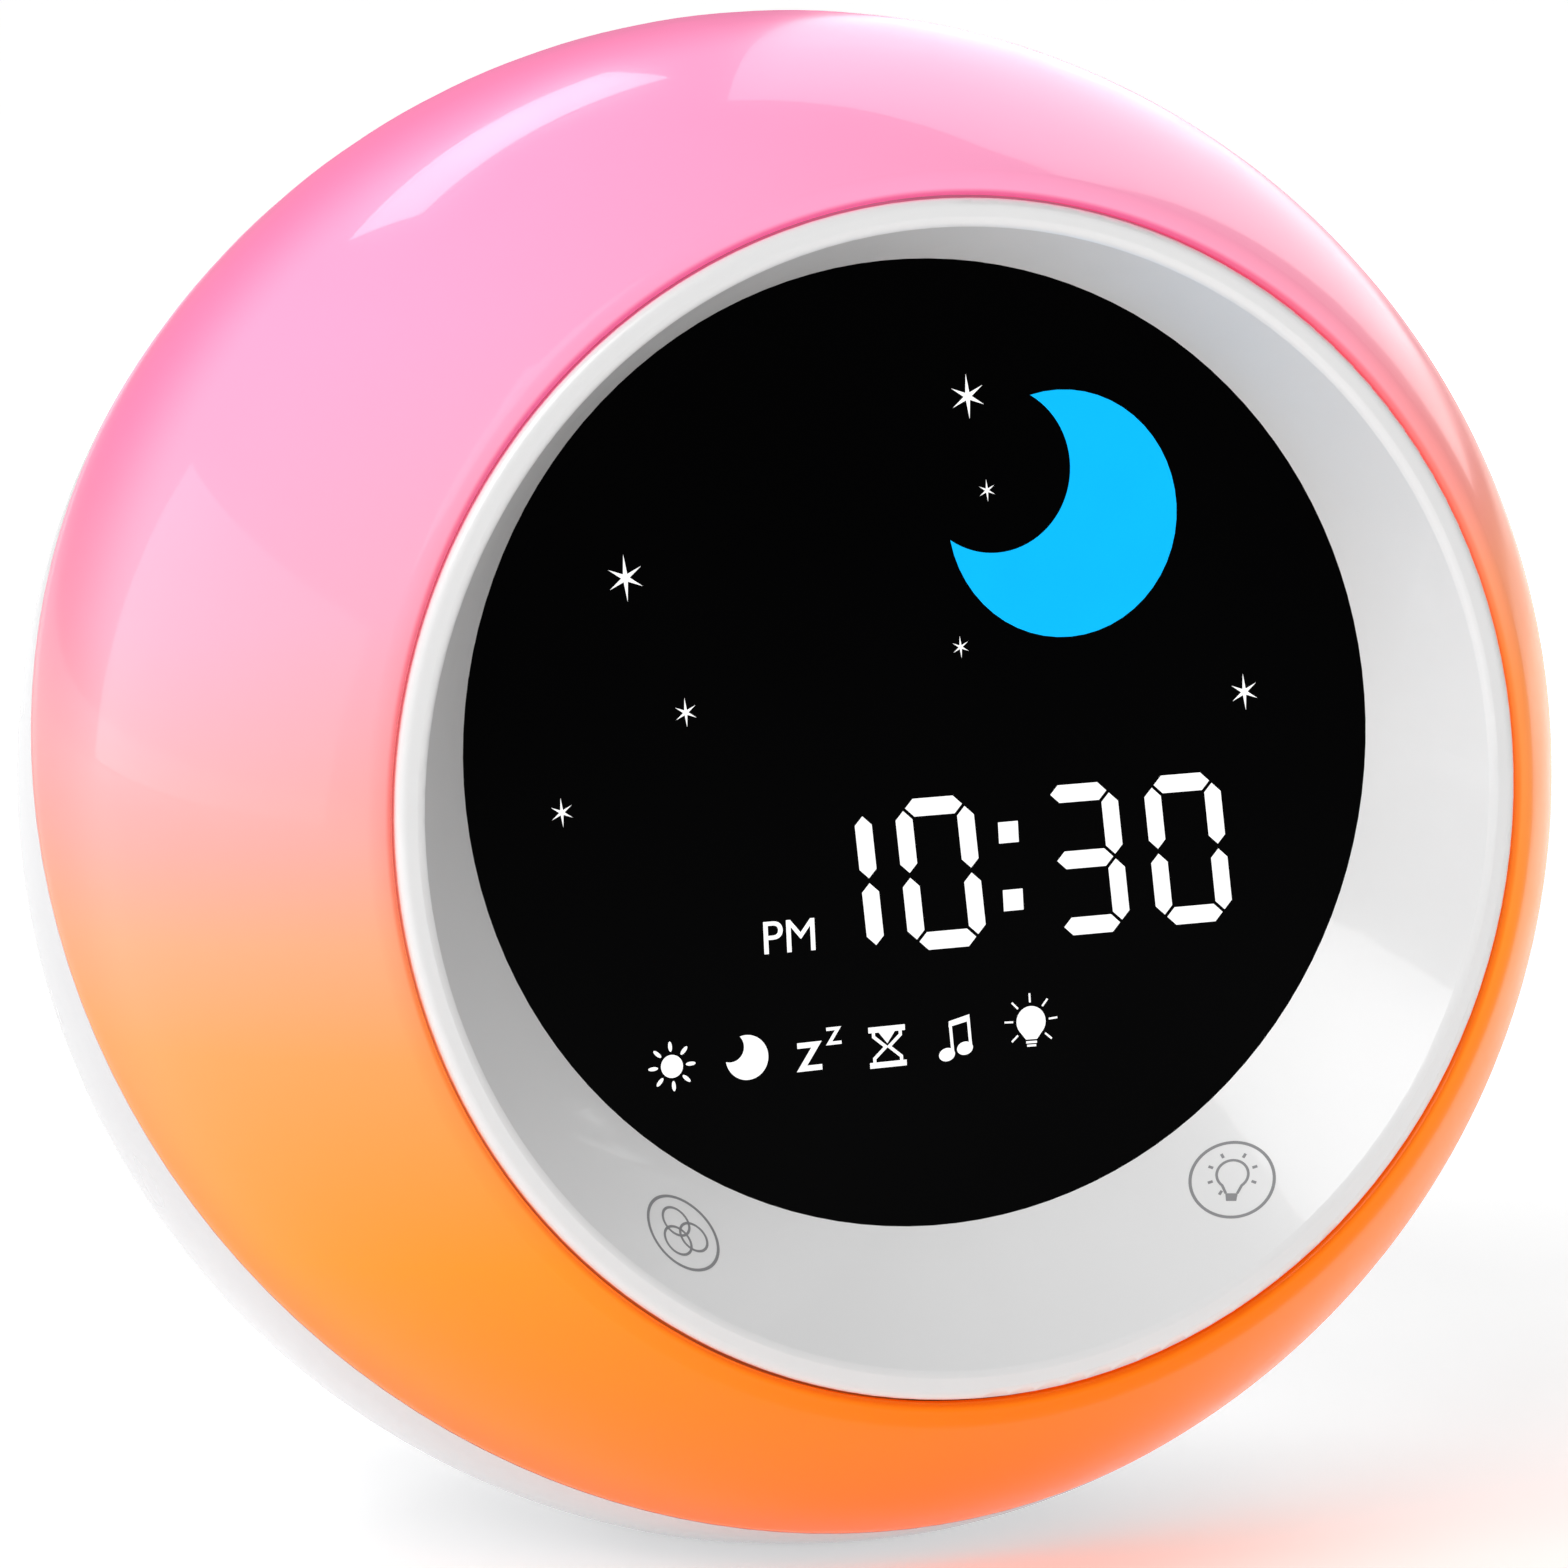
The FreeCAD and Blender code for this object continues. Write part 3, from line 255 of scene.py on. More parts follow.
def dome_plastic():
    """Dyed translucent plastic, pink above and orange below, with painted shade beside the seam, at the
    mouth's rolled edge and round the outline.
    """
    material, tree, shader, place = begin("dome_plastic")
    level = along(tree, place, DYE_LEAN)
    drift = worked(tree, "Math", "MULTIPLY_ADD", grain(tree, place, DRIFT_LUMP), DYE_DRIFT, level)
    height = spread(tree, drift, 0, DYE_HEIGHT, kind="LINEAR")
    dye = ramp(
        tree,
        height,
        (0.08, paint(248, 112, 10)),
        (0.95, paint(246, 150, 198)),
        (0.30, paint(253, 140, 42)),
        (0.43, paint(253, 148, 84)),
        (0.495, paint(253, 154, 116)),
        (0.55, paint(252, 152, 144)),
        (0.66, paint(251, 154, 176)),
        (0.80, paint(248, 154, 192)),
    )
    # Painted shade: darker, deeper copies of the dye's colours
    painted_shade_colour = ramp(
        tree,
        height,
        (0.15, paint(242, 92, 2)),
        (0.75, paint(236, 70, 132)),
        (0.45, paint(250, 122, 44)),
        (0.58, paint(246, 110, 108)),
    )
    # Painted shade: the colour is deeper beside the seam, at the mouth's rolled edge and round the ball's
    # girth about an axis that points roughly toward the camera, its outline in view
    seam_way = SEAM.to_3x3().col[2]
    seam_height = BALL_CENTRE.dot(seam_way)
    from_face_axis = off_axis(tree, place, FACE_CENTRE, FACE.to_3x3().col[2])
    from_outline_axis = off_axis(tree, place, BALL_CENTRE, OUTLINE_AXIS)
    seam_painted_shade = spread(tree, along(tree, place, seam_way), seam_height, seam_height + PAINTED_SHADE_BY_SEAM, 0.4, 0.0)
    rim_painted_shade = spread(tree, from_face_axis, *PAINTED_SHADE_AT_RIM, 0.75, 0.0)
    outline_painted_shade = spread(tree, from_outline_axis, *PAINTED_SHADE_AT_OUTLINE, 0.0, 0.5)
    rim_and_outline_painted_shade = worked(tree, "Math", "MAXIMUM", rim_painted_shade, outline_painted_shade)
    # depth here is the share of painted shade
    depth = worked(tree, "Math", "MAXIMUM", seam_painted_shade, rim_and_outline_painted_shade)
    colour = blended(tree, depth, dye, painted_shade_colour)
    feed(tree, shader.inputs["Base Color"], colour)
    feed(tree, shader.inputs["Emission Color"], colour)
    shader.inputs["Emission Strength"].default_value = 0.33
    shader.inputs["IOR"].default_value = 1.46
    shader.inputs["Specular IOR Level"].default_value = 0.05
    # The gloss is weaker at a grazing view, as on a skin that is slightly matt
    facing = add(tree, "LayerWeight", Blend=0.5).outputs["Facing"]
    feed(tree, shader.inputs["Coat Weight"], spread(tree, facing, 0.5, 0.86, 0.42, 0.02))
    shader.inputs["Coat IOR"].default_value = 1.34
    shader.inputs["Coat Roughness"].default_value = 0.03
    rough_and_bump(tree, shader, place, 0.2, 0.04, 0.8 * MM, 0.004 * MM)
    return material


ANGLES = [math.tau * k / DOME_SIDES for k in range(DOME_SIDES)]
OUTWARD = [Vector((math.cos(angle), math.sin(angle), 0)) for angle in ANGLES]


def wall_rows(radius, rise, ends):
    """Rows of places on a half spheroid, from the seam to where it meets the mouth."""
    stretch = Vector((radius, radius, rise))
    for number in range(DOME_RINGS + 1):
        share = number / DOME_RINGS
        yield [SEAM @ (stretch * start.slerp(end, share)) for start, end in zip(OUTWARD, ends)]


face_turn = FACE.to_3x3()
outer_ends = [meets_ball(FACE_CENTRE, face_turn @ way, BALL_RADIUS, DOME_RISE) for way in OUTWARD]
inner_radius = BALL_RADIUS - DOME_WALL
inner_rise = DOME_RISE - DOME_WALL
bore_row = [FACE @ (way * MOUTH_RADIUS - Vector((0, 0, BORE_DEPTH))) for way in OUTWARD]
inner_ends = [meets_ball(start, face_turn.col[2], inner_radius, inner_rise) for start in bore_row]
outer_rows = list(wall_rows(BALL_RADIUS, DOME_RISE, outer_ends))
inner_rows = list(wall_rows(inner_radius, inner_rise, inner_ends))
land_row = [FACE @ (way * MOUTH_RADIUS) for way in OUTWARD]

# The wall is drawn in one path: up the outside, over the mouth's land, down the inside and back to the start
dome = bmesh.new()
seam_ring = bmesh.ops.create_circle(dome, segments=DOME_SIDES, radius=BALL_RADIUS)["verts"]
for vert, spot in zip(seam_ring, outer_rows[0]):
    vert.co = spot
ring = seam_ring
for row in outer_rows[1:]:
    ring = next_ring(dome, ring, row)
mouth_ring = ring
for row in [land_row] + inner_rows[::-1] + [outer_rows[0]]:
    ring = next_ring(dome, ring, row)
bmesh.ops.remove_doubles(dome, verts=seam_ring + ring, dist=JOINING)


def on_outer_seam(vert):
    """Whether a vertex lies in the seam's plane and on the outer skin."""
    in_plane = abs((SEAM.inverted() @ vert.co).z) < SEAM_PLAY
    return in_plane and (vert.co - BALL_CENTRE).length > inner_radius + MM


mouth_edges = loop_edges(mouth_ring)
seam_edges = [edge for edge in dome.edges if all(on_outer_seam(vert) for vert in edge.verts)]
bmesh.ops.recalc_face_normals(dome, faces=dome.faces)
rounded(dome, mouth_edges, MOUTH_ROUNDING, 6)
rounded(dome, seam_edges, SEAM_ROUNDING, 3)
light_dome = dress("dome", dome, "clock", dome_plastic())
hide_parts("light_dome")

# Front bezel: one glossy white moulding with a rounded lip, an off-centre dish down to the display and a
# collar. Three posts behind it are screwed to the reflector plate.


def finish_node(material, *names):
    """Give CAD pieces one material."""
    for name in names:
        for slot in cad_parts[name].material_slots:
            slot.material = material


def moulded(name, colour, roughness=0.3, coat=0.0, lump=0.9, height=0.004, tone=0.03):
    """Moulded plastic: a slightly uneven colour, a fine skin and a roughness that varies."""
    material, tree, shader, place = begin(name)
    pale = tuple(min(1.0, value * (1 + tone)) for value in colour[:3]) + (1,)
    dark = tuple(value * (1 - tone) for value in colour[:3]) + (1,)
    cloud = spread(tree, grain(tree, place, 25 * MM, 3.0), 0.3, 0.7)
    feed(tree, shader.inputs["Base Color"], blended(tree, cloud, dark, pale))
    shader.inputs["Coat Weight"].default_value = coat
    shader.inputs["Coat Roughness"].default_value = 0.04
    rough_and_bump(tree, shader, place, roughness, roughness / 16, lump * MM, height * MM)
    return material


bezel_plastic = moulded("bezel_plastic", paint(252, 252, 252), roughness=0.24, coat=0.4, tone=0.01)
finish_node(bezel_plastic, "front_bezel")

# Display: a black acrylic lens with a printed film behind it. The numerals, the crescent moon, the stars and
# the row of function signs are windows in the film, lit by the lamps of the display board.

SCREEN_CENTRE = FACE_CENTRE + FACE.to_3x3() @ Vector((0, 4.3, -10.4)) * MM
SCREEN = looking(SCREEN_CENTRE, FACE_TILT)

# Drawings are in millimetres; so are the height a print stands off and its thickness
PRINT_LIFT = 0.02
PRINT_THICK = 0.03
PRINT_JOINING = 0.00001


def acrylic():
    """Black acrylic, polished flat."""
    material, tree, shader, place = begin("black_acrylic")
    shader.inputs["Base Color"].default_value = (0.0004, 0.0004, 0.0005, 1)
    shader.inputs["Specular IOR Level"].default_value = 0.03
    rough_and_bump(tree, shader, place, 0.16, 0.03, 2 * MM, 0.002 * MM)
    return material


finish_node(acrylic(), "display_lens")
finish_node(moulded("black_film", paint(16, 16, 18), roughness=0.5), "display_film")


def lit(name, colour, strength):
    """A lit window: its lamp's colour, a little uneven over its area."""
    material, tree, shader, place = begin(name)
    uneven = spread(tree, grain(tree, place, 5 * MM, 1.0), 0.2, 0.8)
    soft = tuple(value * 0.97 for value in colour[:3]) + (1,)
    glow = blended(tree, uneven, soft, colour)
    shader.inputs["Base Color"].default_value = tuple(value * 0.2 for value in colour[:3]) + (1,)
    shader.inputs["Specular IOR Level"].default_value = 0.1
    feed(tree, shader.inputs["Emission Color"], glow)
    shader.inputs["Emission Strength"].default_value = strength
    rough_and_bump(tree, shader, place, 0.4, 0.05, 0.5 * MM, 0.001 * MM)
    return material


def flat(shape, points):
    """A flat face through a few outline points, in millimetres."""
    shape.faces.new([shape.verts.new((x, y, 0)) for x, y in points])


def arc(x, y, radius, start, end, steps):
    """Points on an arc, angles in degrees."""
    angles = [math.radians(start + (end - start) * k / steps) for k in range(steps + 1)]
    return [(x + radius * math.cos(angle), y + radius * math.sin(angle)) for angle in angles]


def oval(shape, x, y, wide, tall, lean=0.0, sides=28):
    """A filled oval, leaning by an angle."""
    made = bmesh.ops.create_circle(shape, cap_ends=True, segments=sides, radius=0.5)["verts"]
    place = Matrix.Translation((x, y, 0)) @ Matrix.Rotation(math.radians(lean), 4, "Z")
    bmesh.ops.transform(shape, verts=made, matrix=place @ Matrix.Diagonal((wide, tall, 1, 1)))


def band(shape, x, y, radius, width, start=0.0, end=360.0, sides=48):
    """A ring, or a part of one, of one width."""
    outer_points = arc(x, y, radius + width / 2, start, end, sides)
    inner_points = arc(x, y, radius - width / 2, start, end, sides)
    strip(shape, outer_points, inner_points)


def strip(shape, first, second):
    """A strip of faces between two rows of points."""
    upper = [shape.verts.new((x, y, 0)) for x, y in first]
    lower = [shape.verts.new((x, y, 0)) for x, y in second]
    for k in range(len(first) - 1):
        shape.faces.new((upper[k], upper[k + 1], lower[k + 1], lower[k]))


def line(shape, points, width):
    """A drawn line of one width through a few points, its corners mitred."""
    left, right = [], []
    for k, point in enumerate(points):
        before = Vector(points[max(k - 1, 0)])
        after = Vector(points[min(k + 1, len(points) - 1)])
        here = Vector(point)
        way_in = (here - before).normalized() if k > 0 else (after - here).normalized()
        way_out = (after - here).normalized() if k < len(points) - 1 else way_in
        middle = (way_in + way_out).normalized()
        side = Vector((-middle.y, middle.x)) * width / 2 / max(0.4, middle.dot(way_in))
        left.append(here + side)
        right.append(here - side)
    strip(shape, left, right)


def moved(shape, before, matrix):
    """Move everything drawn since a set of the drawing's vertices was taken."""
    fresh = [vert for vert in shape.verts if vert not in before]
    bmesh.ops.transform(shape, verts=fresh, matrix=matrix)


def printed(name, shape, place, material, thick=PRINT_THICK):
    """Give drawn faces a thickness and lay them on the clock; place turns millimetres into a place."""
    bmesh.ops.remove_doubles(shape, verts=shape.verts, dist=PRINT_JOINING)
    bmesh.ops.recalc_face_normals(shape, faces=shape.faces)
    grown = bmesh.ops.extrude_face_region(shape, geom=shape.faces[:])["geom"]
    for vert in (item for item in grown if isinstance(item, bmesh.types.BMVert)):
        vert.co.z += thick
    for vert in shape.verts:
        vert.co = place(vert.co)
    piece = dress(name, shape, "clock", material)
    piece.data.shade_flat()


def on_screen(point):
    """A place on the lens from the screen's millimetres."""
    return SCREEN @ (Vector((point.x, point.y, point.z + PRINT_LIFT)) * MM)


white_light = lit("white_light", (1, 1, 1, 1), 1.0)
blue_light = lit("blue_light", paint(10, 181, 255), 1.0)

# Numerals: four seven-segment figures and a colon, white windows in the film.
# The segments' ends are cut to points, with narrow gaps between them.

DIGIT_WIDE = 5.75
DIGIT_HALF = 5.85
SEGMENT = 1.56
SEGMENT_GAP = 0.22
DIGIT_LEAN = -0.085
DIGIT_CLIMB = 0.02
SEGMENTS = {"0": "abcdef", "1": "bc", "3": "abcdg"}
DIGIT_PLACES = (("1", -8.45, -11.6), ("0", 1.1, -11.25), ("3", 14.75, -10.85), ("0", 24.6, -10.55))
COLON_PLACES = ((7.55, -8.09), (7.83, -14.05))
COLON_CORNERS = ((-0.9, -0.95), (0.95, -0.9), (0.9, 0.95), (-0.95, 0.9))


def bar(shape, start, end):
    """One segment between two corners of a figure, with pointed ends."""
    start, end = Vector(start), Vector(end)
    way = (end - start).normalized()
    side = Vector((-way.y, way.x)) * SEGMENT / 2
    first = start + way * SEGMENT_GAP
    last = end - way * SEGMENT_GAP
    step = way * SEGMENT / 2
    near_side = [first, first + step + side, last - step + side]
    far_side = [last, last - step - side, first + step - side]
    flat(shape, near_side + far_side)


def figure(shape, digit, x, y):
    """A seven-segment figure about its centre."""
    before = set(shape.verts)
    wide, tall = DIGIT_WIDE / 2, DIGIT_HALF
    ends = {
        "a": ((-wide, tall), (wide, tall)),
        "b": ((wide, tall), (wide, 0)),
        "c": ((wide, 0), (wide, -tall)),
        "d": ((-wide, -tall), (wide, -tall)),
        "e": ((-wide, -tall), (-wide, 0)),
        "f": ((-wide, 0), (-wide, tall)),
        "g": ((-wide, 0), (wide, 0)),
    }
    for segment in SEGMENTS[digit]:
        bar(shape, *ends[segment])
    lean = Matrix(((1, DIGIT_LEAN, 0, x), (DIGIT_CLIMB, 1, 0, y), (0, 0, 1, 0), (0, 0, 0, 1)))
    moved(shape, before, lean)


numerals = bmesh.new()
for digit, x, y in DIGIT_PLACES:
    figure(numerals, digit, x, y)
for x, y in COLON_PLACES:
    flat(numerals, [(x + right, y + up) for right, up in COLON_CORNERS])
printed("numerals", numerals, on_screen, white_light)

# Stars: seven six-rayed sparkles with thin tapering rays, white windows in the film.
# Each has its place and its size.

STARS = (
    (4.85, 30.02, 3.9),
    (6.42, 21.8, 1.9),
    (-27.03, 15.72, 4.0),
    (3.55, 8.3, 1.9),
    (-21.95, 3.94, 2.5),
    (-33.42, -4.0, 2.5),
    (30.37, 3.01, 3.2),
)
STAR_LEAN = 4
STAR_WAIST = 0.19
STAR_SIDE_RAY = 0.86


def heading(angle):
    """The direction at an angle, in degrees."""
    return Vector((math.cos(math.radians(angle)), math.sin(math.radians(angle))))


def star(shape, x, y, size):
    """A six-rayed sparkle; its two upright rays are the longest."""
    points = []
    for k in range(12):
        share = STAR_WAIST if k % 2 else (1.0 if k % 6 == 0 else STAR_SIDE_RAY)
        points.append(Vector((x, y)) + heading(90 + STAR_LEAN + 30 * k) * (size / 2 * share))
    flat(shape, points)


stars = bmesh.new()
for x, y, size in STARS:
    star(stars, x, y, size)
printed("stars", stars, on_screen, white_light)

# Blue crescent moon: the lit window in the film that shows the sleep time.
# Its middle and radius are given, then the angles of its two horns and the depth of its bite.

MOON = (13.5, 19.5, 10.8, 105, 190, 0.7)


def crescent(shape, x, y, radius, first_horn, last_horn, bite, steps=40):
    """A crescent: a long outer arc between two horns and a shallower inner arc back."""
    turn = (last_horn - first_horn) % 360
    outer_arc = arc(x, y, radius, first_horn, first_horn - (360 - turn), steps)
    head, tail = Vector(outer_arc[0]), Vector(outer_arc[-1])
    middle = (head + tail) / 2
    across = (head - tail).normalized()
    inward = Vector((-across.y, across.x))
    if (Vector((x, y)) - middle).dot(inward) < 0:
        inward = -inward
    half = (head - tail).length / 2
    depth = bite * radius
    bite_radius = (half * half + depth * depth) / (2 * depth)
    centre = middle + inward * (depth - bite_radius)
    reach = math.asin(min(1.0, half / bite_radius))
    if depth > bite_radius:
        reach = math.pi - reach
    inner_arc = []
    for k in range(1, steps):
        angle = reach * (1 - 2 * k / steps)
        inner_arc.append(centre + bite_radius * (inward * math.cos(angle) + across * math.sin(angle)))
    strip(shape, outer_arc, [head] + inner_arc + [tail])


moon = bmesh.new()
crescent(moon, *MOON)
printed("moon", moon, on_screen, blue_light)

# Function signs: a sun, a moon, an hourglass, two notes and a lamp in a row under the numerals.
# They are white windows in the film; the sleep letters that belong to the row follow them.


def placed(shape, draw, x, y, lean=0.0):
    """Draw a sign about its own middle, then lean it and move it to its place."""
    before = set(shape.verts)
    draw(shape)
    moved(shape, before, Matrix.Translation((x, y, 0)) @ Matrix.Rotation(math.radians(lean), 4, "Z"))


def sun_sign(shape):
    """A disc with eight short oval rays."""
    oval(shape, 0, 0, 2.0, 2.0)
    for k in range(8):
        angle = 45 * k + 4
        middle = heading(angle) * 1.72
        oval(shape, middle.x, middle.y, 0.9, 0.34, angle, 12)


def moon_sign(shape):
    """A small crescent."""
    crescent(shape, 0, 0, 1.95, 108, 188, 0.5)


def hourglass_sign(shape):
    """An outlined hourglass with sand in its upper half."""
    line(shape, [(-1.7, 1.35), (1.7, 1.35)], 0.5)
    line(shape, [(-1.7, -1.75), (1.7, -1.75)], 0.5)
    line(shape, [(-1.25, 1.1), (-1.25, 0.75), (-0.15, -0.2), (-1.25, -1.15), (-1.25, -1.5)], 0.28)
    line(shape, [(1.25, 1.1), (1.25, 0.75), (0.15, -0.2), (1.25, -1.15), (1.25, -1.5)], 0.28)
    flat(shape, [(-0.75, 1.1), (0, 0.1), (0.75, 1.1)])


def notes_sign(shape):
    """Two joined notes."""
    oval(shape, -0.85, -1.4, 1.5, 1.15, 12)
    oval(shape, 0.85, -0.95, 1.5, 1.15, 12)
    line(shape, [(-0.3, -1.2), (-0.48, 1.3)], 0.26)
    line(shape, [(1.4, -0.8), (1.22, 1.7)], 0.26)
    flat(shape, [(-0.62, 1.0), (1.35, 1.45), (1.34, 2.0), (-0.6, 1.5)])


def lamp_sign(shape):
    """A filled lamp with its cap and seven rays."""
    oval(shape, 0, 0, 2.75, 2.75)
    flat(shape, [(-1.1, -0.8), (-0.52, -1.55), (0.52, -1.55), (1.1, -0.8)])
    line(shape, [(-0.5, -1.8), (0.5, -1.8)], 0.2)
    line(shape, [(-0.42, -2.1), (0.42, -2.1)], 0.18)
    for angle in (-40, 5, 50, 92, 135, 178, 222):
        line(shape, [heading(angle) * 1.7, heading(angle) * 2.5], 0.16)


SCREEN_SIGNS = (
    (sun_sign, -24.21, -26.43, 0),
    (moon_sign, -17.33, -26.14, 0),
    (hourglass_sign, -4.33, -25.9, 1.5),
    (notes_sign, 2.06, -25.8, 0),
    (lamp_sign, 9.2, -24.85, 0),
)
signs = bmesh.new()
for sign, x, y, lean in SCREEN_SIGNS:
    placed(signs, sign, x, y, lean)
printed("signs", signs, on_screen, white_light)


def lettering(name, text, size, x, y, lean=0.0, bold=0.0):
    """Letters cut from the built-in font, laid on the screen."""
    curve = bpy.data.curves.new(name, "FONT")
    curve.body = text
    curve.size = size
    curve.offset = bold
    curve.align_x = "CENTER"
    curve.align_y = "CENTER"
    holder = bpy.data.objects.new(name + "_text", curve)
    mesh = bpy.data.meshes.new_from_object(holder)
    shape = bmesh.new()
    shape.from_mesh(mesh)
    bpy.data.objects.remove(holder)
    bpy.data.meshes.remove(mesh)
    turn = Matrix.Rotation(math.radians(lean), 4, "Z")
    bmesh.ops.transform(shape, verts=shape.verts, matrix=Matrix.Translation((x, y, 0)) @ turn)
    printed(name, shape, on_screen, white_light)


lettering("afternoon_letters", "PM", 4.1, -13.1, -16.05, lean=1)
lettering("sleep_letter_large", "Z", 3.4, -11.6, -26.6, lean=2, bold=0.09)
lettering("sleep_letter_small", "Z", 2.1, -9.3, -24.9, lean=2, bold=0.05)

# Touch signs: thin grey lines printed on the white dish, over the two touch foils behind it.
# Left, three rings for the light's colour; right, a lamp for the light's brightness.

# The dish in the face's millimetres: its radius in front and how much it narrows, its rise and its depth
CONE_FRONT = 49.2
CONE_NARROWING = 7.1
CONE_SHIFT = 4.3
CONE_DEPTH = 11.0
CONE_START = 0.6
CONE_STEPS = 6
CONE_STEP_SHARE = 0.8
TOUCH_RING = 3.72
TOUCH_LINE = 0.28
TOUCH_SIDES = 72
TOUCH_THICK = 0.01
COLOUR_PLACE = Vector((-25.7, -35.75, -4.75))
LIGHT_PLACE = Vector((25.76, -35.18, -5.2))
BULB_MIDDLE = Vector((0, 0.55))


def off_cone(point):
    """How far a point of the face's millimetres is inside the dish's surface, measured across it."""
    share = (CONE_START - point.z) / CONE_DEPTH
    return math.hypot(point.x, point.y - CONE_SHIFT * share) - (CONE_FRONT - CONE_NARROWING * share)


def cone_normal(point):
    """The direction out of the dish's surface at a point, by small steps."""
    step = 0.01
    slope = [off_cone(point + axis * step) - off_cone(point - axis * step) for axis in Matrix.Identity(3)]
    return -Vector(slope).normalized()


def on_cone(centre):
    """A function that lays the millimetres of a drawing on the dish around a centre."""
    out = cone_normal(centre)
    up = (Vector((0, 1, 0)) - out * out.y).normalized()
    right = up.cross(out)

    def place(point):
        spot = centre + right * point.x + up * point.y
        for _ in range(CONE_STEPS):
            spot = spot + cone_normal(spot) * off_cone(spot) * CONE_STEP_SHARE
        return FACE @ ((spot + cone_normal(spot) * (point.z + PRINT_LIFT)) * MM)

    return place


grey_print = moulded("grey_print", paint(150, 150, 152), roughness=0.5, lump=0.3)
colour_sign = bmesh.new()
band(colour_sign, 0, 0, TOUCH_RING, TOUCH_LINE, sides=TOUCH_SIDES)
for angle in (90, 210, 330):
    middle = heading(angle) * 1.18
    band(colour_sign, middle.x, middle.y, 1.42, 0.24)
printed("colour_sign", colour_sign, on_cone(COLOUR_PLACE), grey_print, TOUCH_THICK)
light_sign = bmesh.new()
band(light_sign, 0, 0, TOUCH_RING, TOUCH_LINE, sides=TOUCH_SIDES)
bulb = arc(BULB_MIDDLE.x, BULB_MIDDLE.y, 1.4, -52, 232, 30)
line(light_sign, [(0.5, -1.35)] + bulb + [(-0.5, -1.35)], 0.24)
flat(light_sign, [(-0.55, -1.35), (0.55, -1.35), (0.45, -2.1), (-0.45, -2.1)])
for angle in (-22, 20, 62, 118, 160, 202, 242):
    way = heading(angle)
    line(light_sign, [BULB_MIDDLE + way * 1.85, BULB_MIDDLE + way * 2.3], 0.26)
printed("light_sign", light_sign, on_cone(LIGHT_PLACE), grey_print, TOUCH_THICK)

# Inside the clock: a black light box, green boards with their lamps and chips, and two white mouldings.
# The retainer holds the display's stack in the bezel; the plate carries the ring of lamps across the seam.

black_plastic = moulded("black_plastic", paint(28, 28, 30), roughness=0.45)
finish_node(black_plastic, "light_box", "display_chip", "main_chip", "switch_bodies")
board_green = moulded("board_green", paint(28, 92, 58), roughness=0.4, coat=0.3, lump=0.6, tone=0.12)
finish_node(board_green, "display_board", "led_ring_board", "main_board")
finish_node(board_green, "upper_key_board", "lower_key_board")
lamp_resin = moulded("lamp_resin", paint(245, 240, 215), roughness=0.25)
finish_node(lamp_resin, "display_leds", "night_leds")
white_reflector = moulded("white_reflector", paint(240, 240, 236), roughness=0.5)
finish_node(white_reflector, "display_retainer", "reflector_plate")


def bare_metal(name, colour, roughness, lump=0.5):
    """Bare metal with fine tooling marks."""
    material, tree, shader, place = begin(name)
    shade = tuple(value * 0.8 for value in colour[:3]) + (1,)
    cloud = spread(tree, grain(tree, place, 2 * MM, 3.0), 0.3, 0.7)
    feed(tree, shader.inputs["Base Color"], blended(tree, cloud, shade, colour))
    shader.inputs["Metallic"].default_value = 1.0
    rough_and_bump(tree, shader, place, roughness, 0.08, lump * MM, 0.01 * MM)
    return material


copper_foil = bare_metal("copper_foil", paint(214, 140, 100), 0.35)
finish_node(copper_foil, "touch_foil_colour", "touch_foil_light")
screw_steel = bare_metal("screw_steel", paint(190, 192, 196), 0.3)
finish_node(
    screw_steel,
    "bezel_screws",
    "led_board_screws",
    "main_board_screws",
    "case_screws",
    "panel_screws",
    "key_board_screws",
    "speaker_screws",
    "battery_contacts",
    "usb_socket",
)
finish_node(bare_metal("capacitor_can", paint(160, 165, 175), 0.25), "main_capacitors")

# Rear shell: the back half of the ball, moulded in glossy white, cut flat at the back and at the foot.
# Four long screws from behind join it to the reflector plate. The speaker's grille is drilled low in its
# back, with the speaker behind it, and a rubber ring is set in the foot.

# The shell's glossy white is painted a light grey, darker than the bezel's white: painted shade
shell_plastic = moulded("shell_plastic", paint(214, 214, 216), roughness=0.26, coat=0.3, tone=0.012)
finish_node(shell_plastic, "rear_shell")
finish_node(moulded("foot_rubber", paint(70, 70, 74), roughness=0.75, lump=0.4, height=0.02), "rubber_foot")
finish_node(moulded("paper_cone", paint(40, 40, 42), roughness=0.8, height=0.03), "speaker_cone")
magnet_steel = bare_metal("magnet_steel", paint(130, 130, 134), 0.4)
finish_node(magnet_steel, "speaker_magnet", "speaker_basket", "speaker_clamp")

# Rear panel: a round plate with a fine matt texture, set flush in the back and held by three screws.
# Beside each key a sign is printed in grey: up, down, alarm bell, clock, sound and sleep timer.

panel_white = paint(222, 222, 225)
panel_plastic = moulded("panel_plastic", panel_white, roughness=0.42, lump=0.35, height=0.02, tone=0.015)
finish_node(panel_plastic, "rear_panel")
PANEL_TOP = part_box("rear_panel")[1]
PANEL_RISE = 71.613 * MM
BACK_CENTRE = Vector((0, PANEL_TOP.y, PANEL_RISE))
KEY_ROW = 21.5
SIGN_RISE = 6.9


def on_back(point):
    """A place on the rear panel from its millimetres, as seen from behind."""
    return BACK_CENTRE + Vector((-point.x, point.z + PRINT_LIFT, point.y)) * MM


def up_sign(shape):
    """A triangle that points up."""
    flat(shape, [(-1.3, -0.8), (1.3, -0.8), (0, 1.2)])


def down_sign(shape):
    """A triangle that points down."""
    flat(shape, [(1.3, 0.8), (-1.3, 0.8), (0, -1.2)])


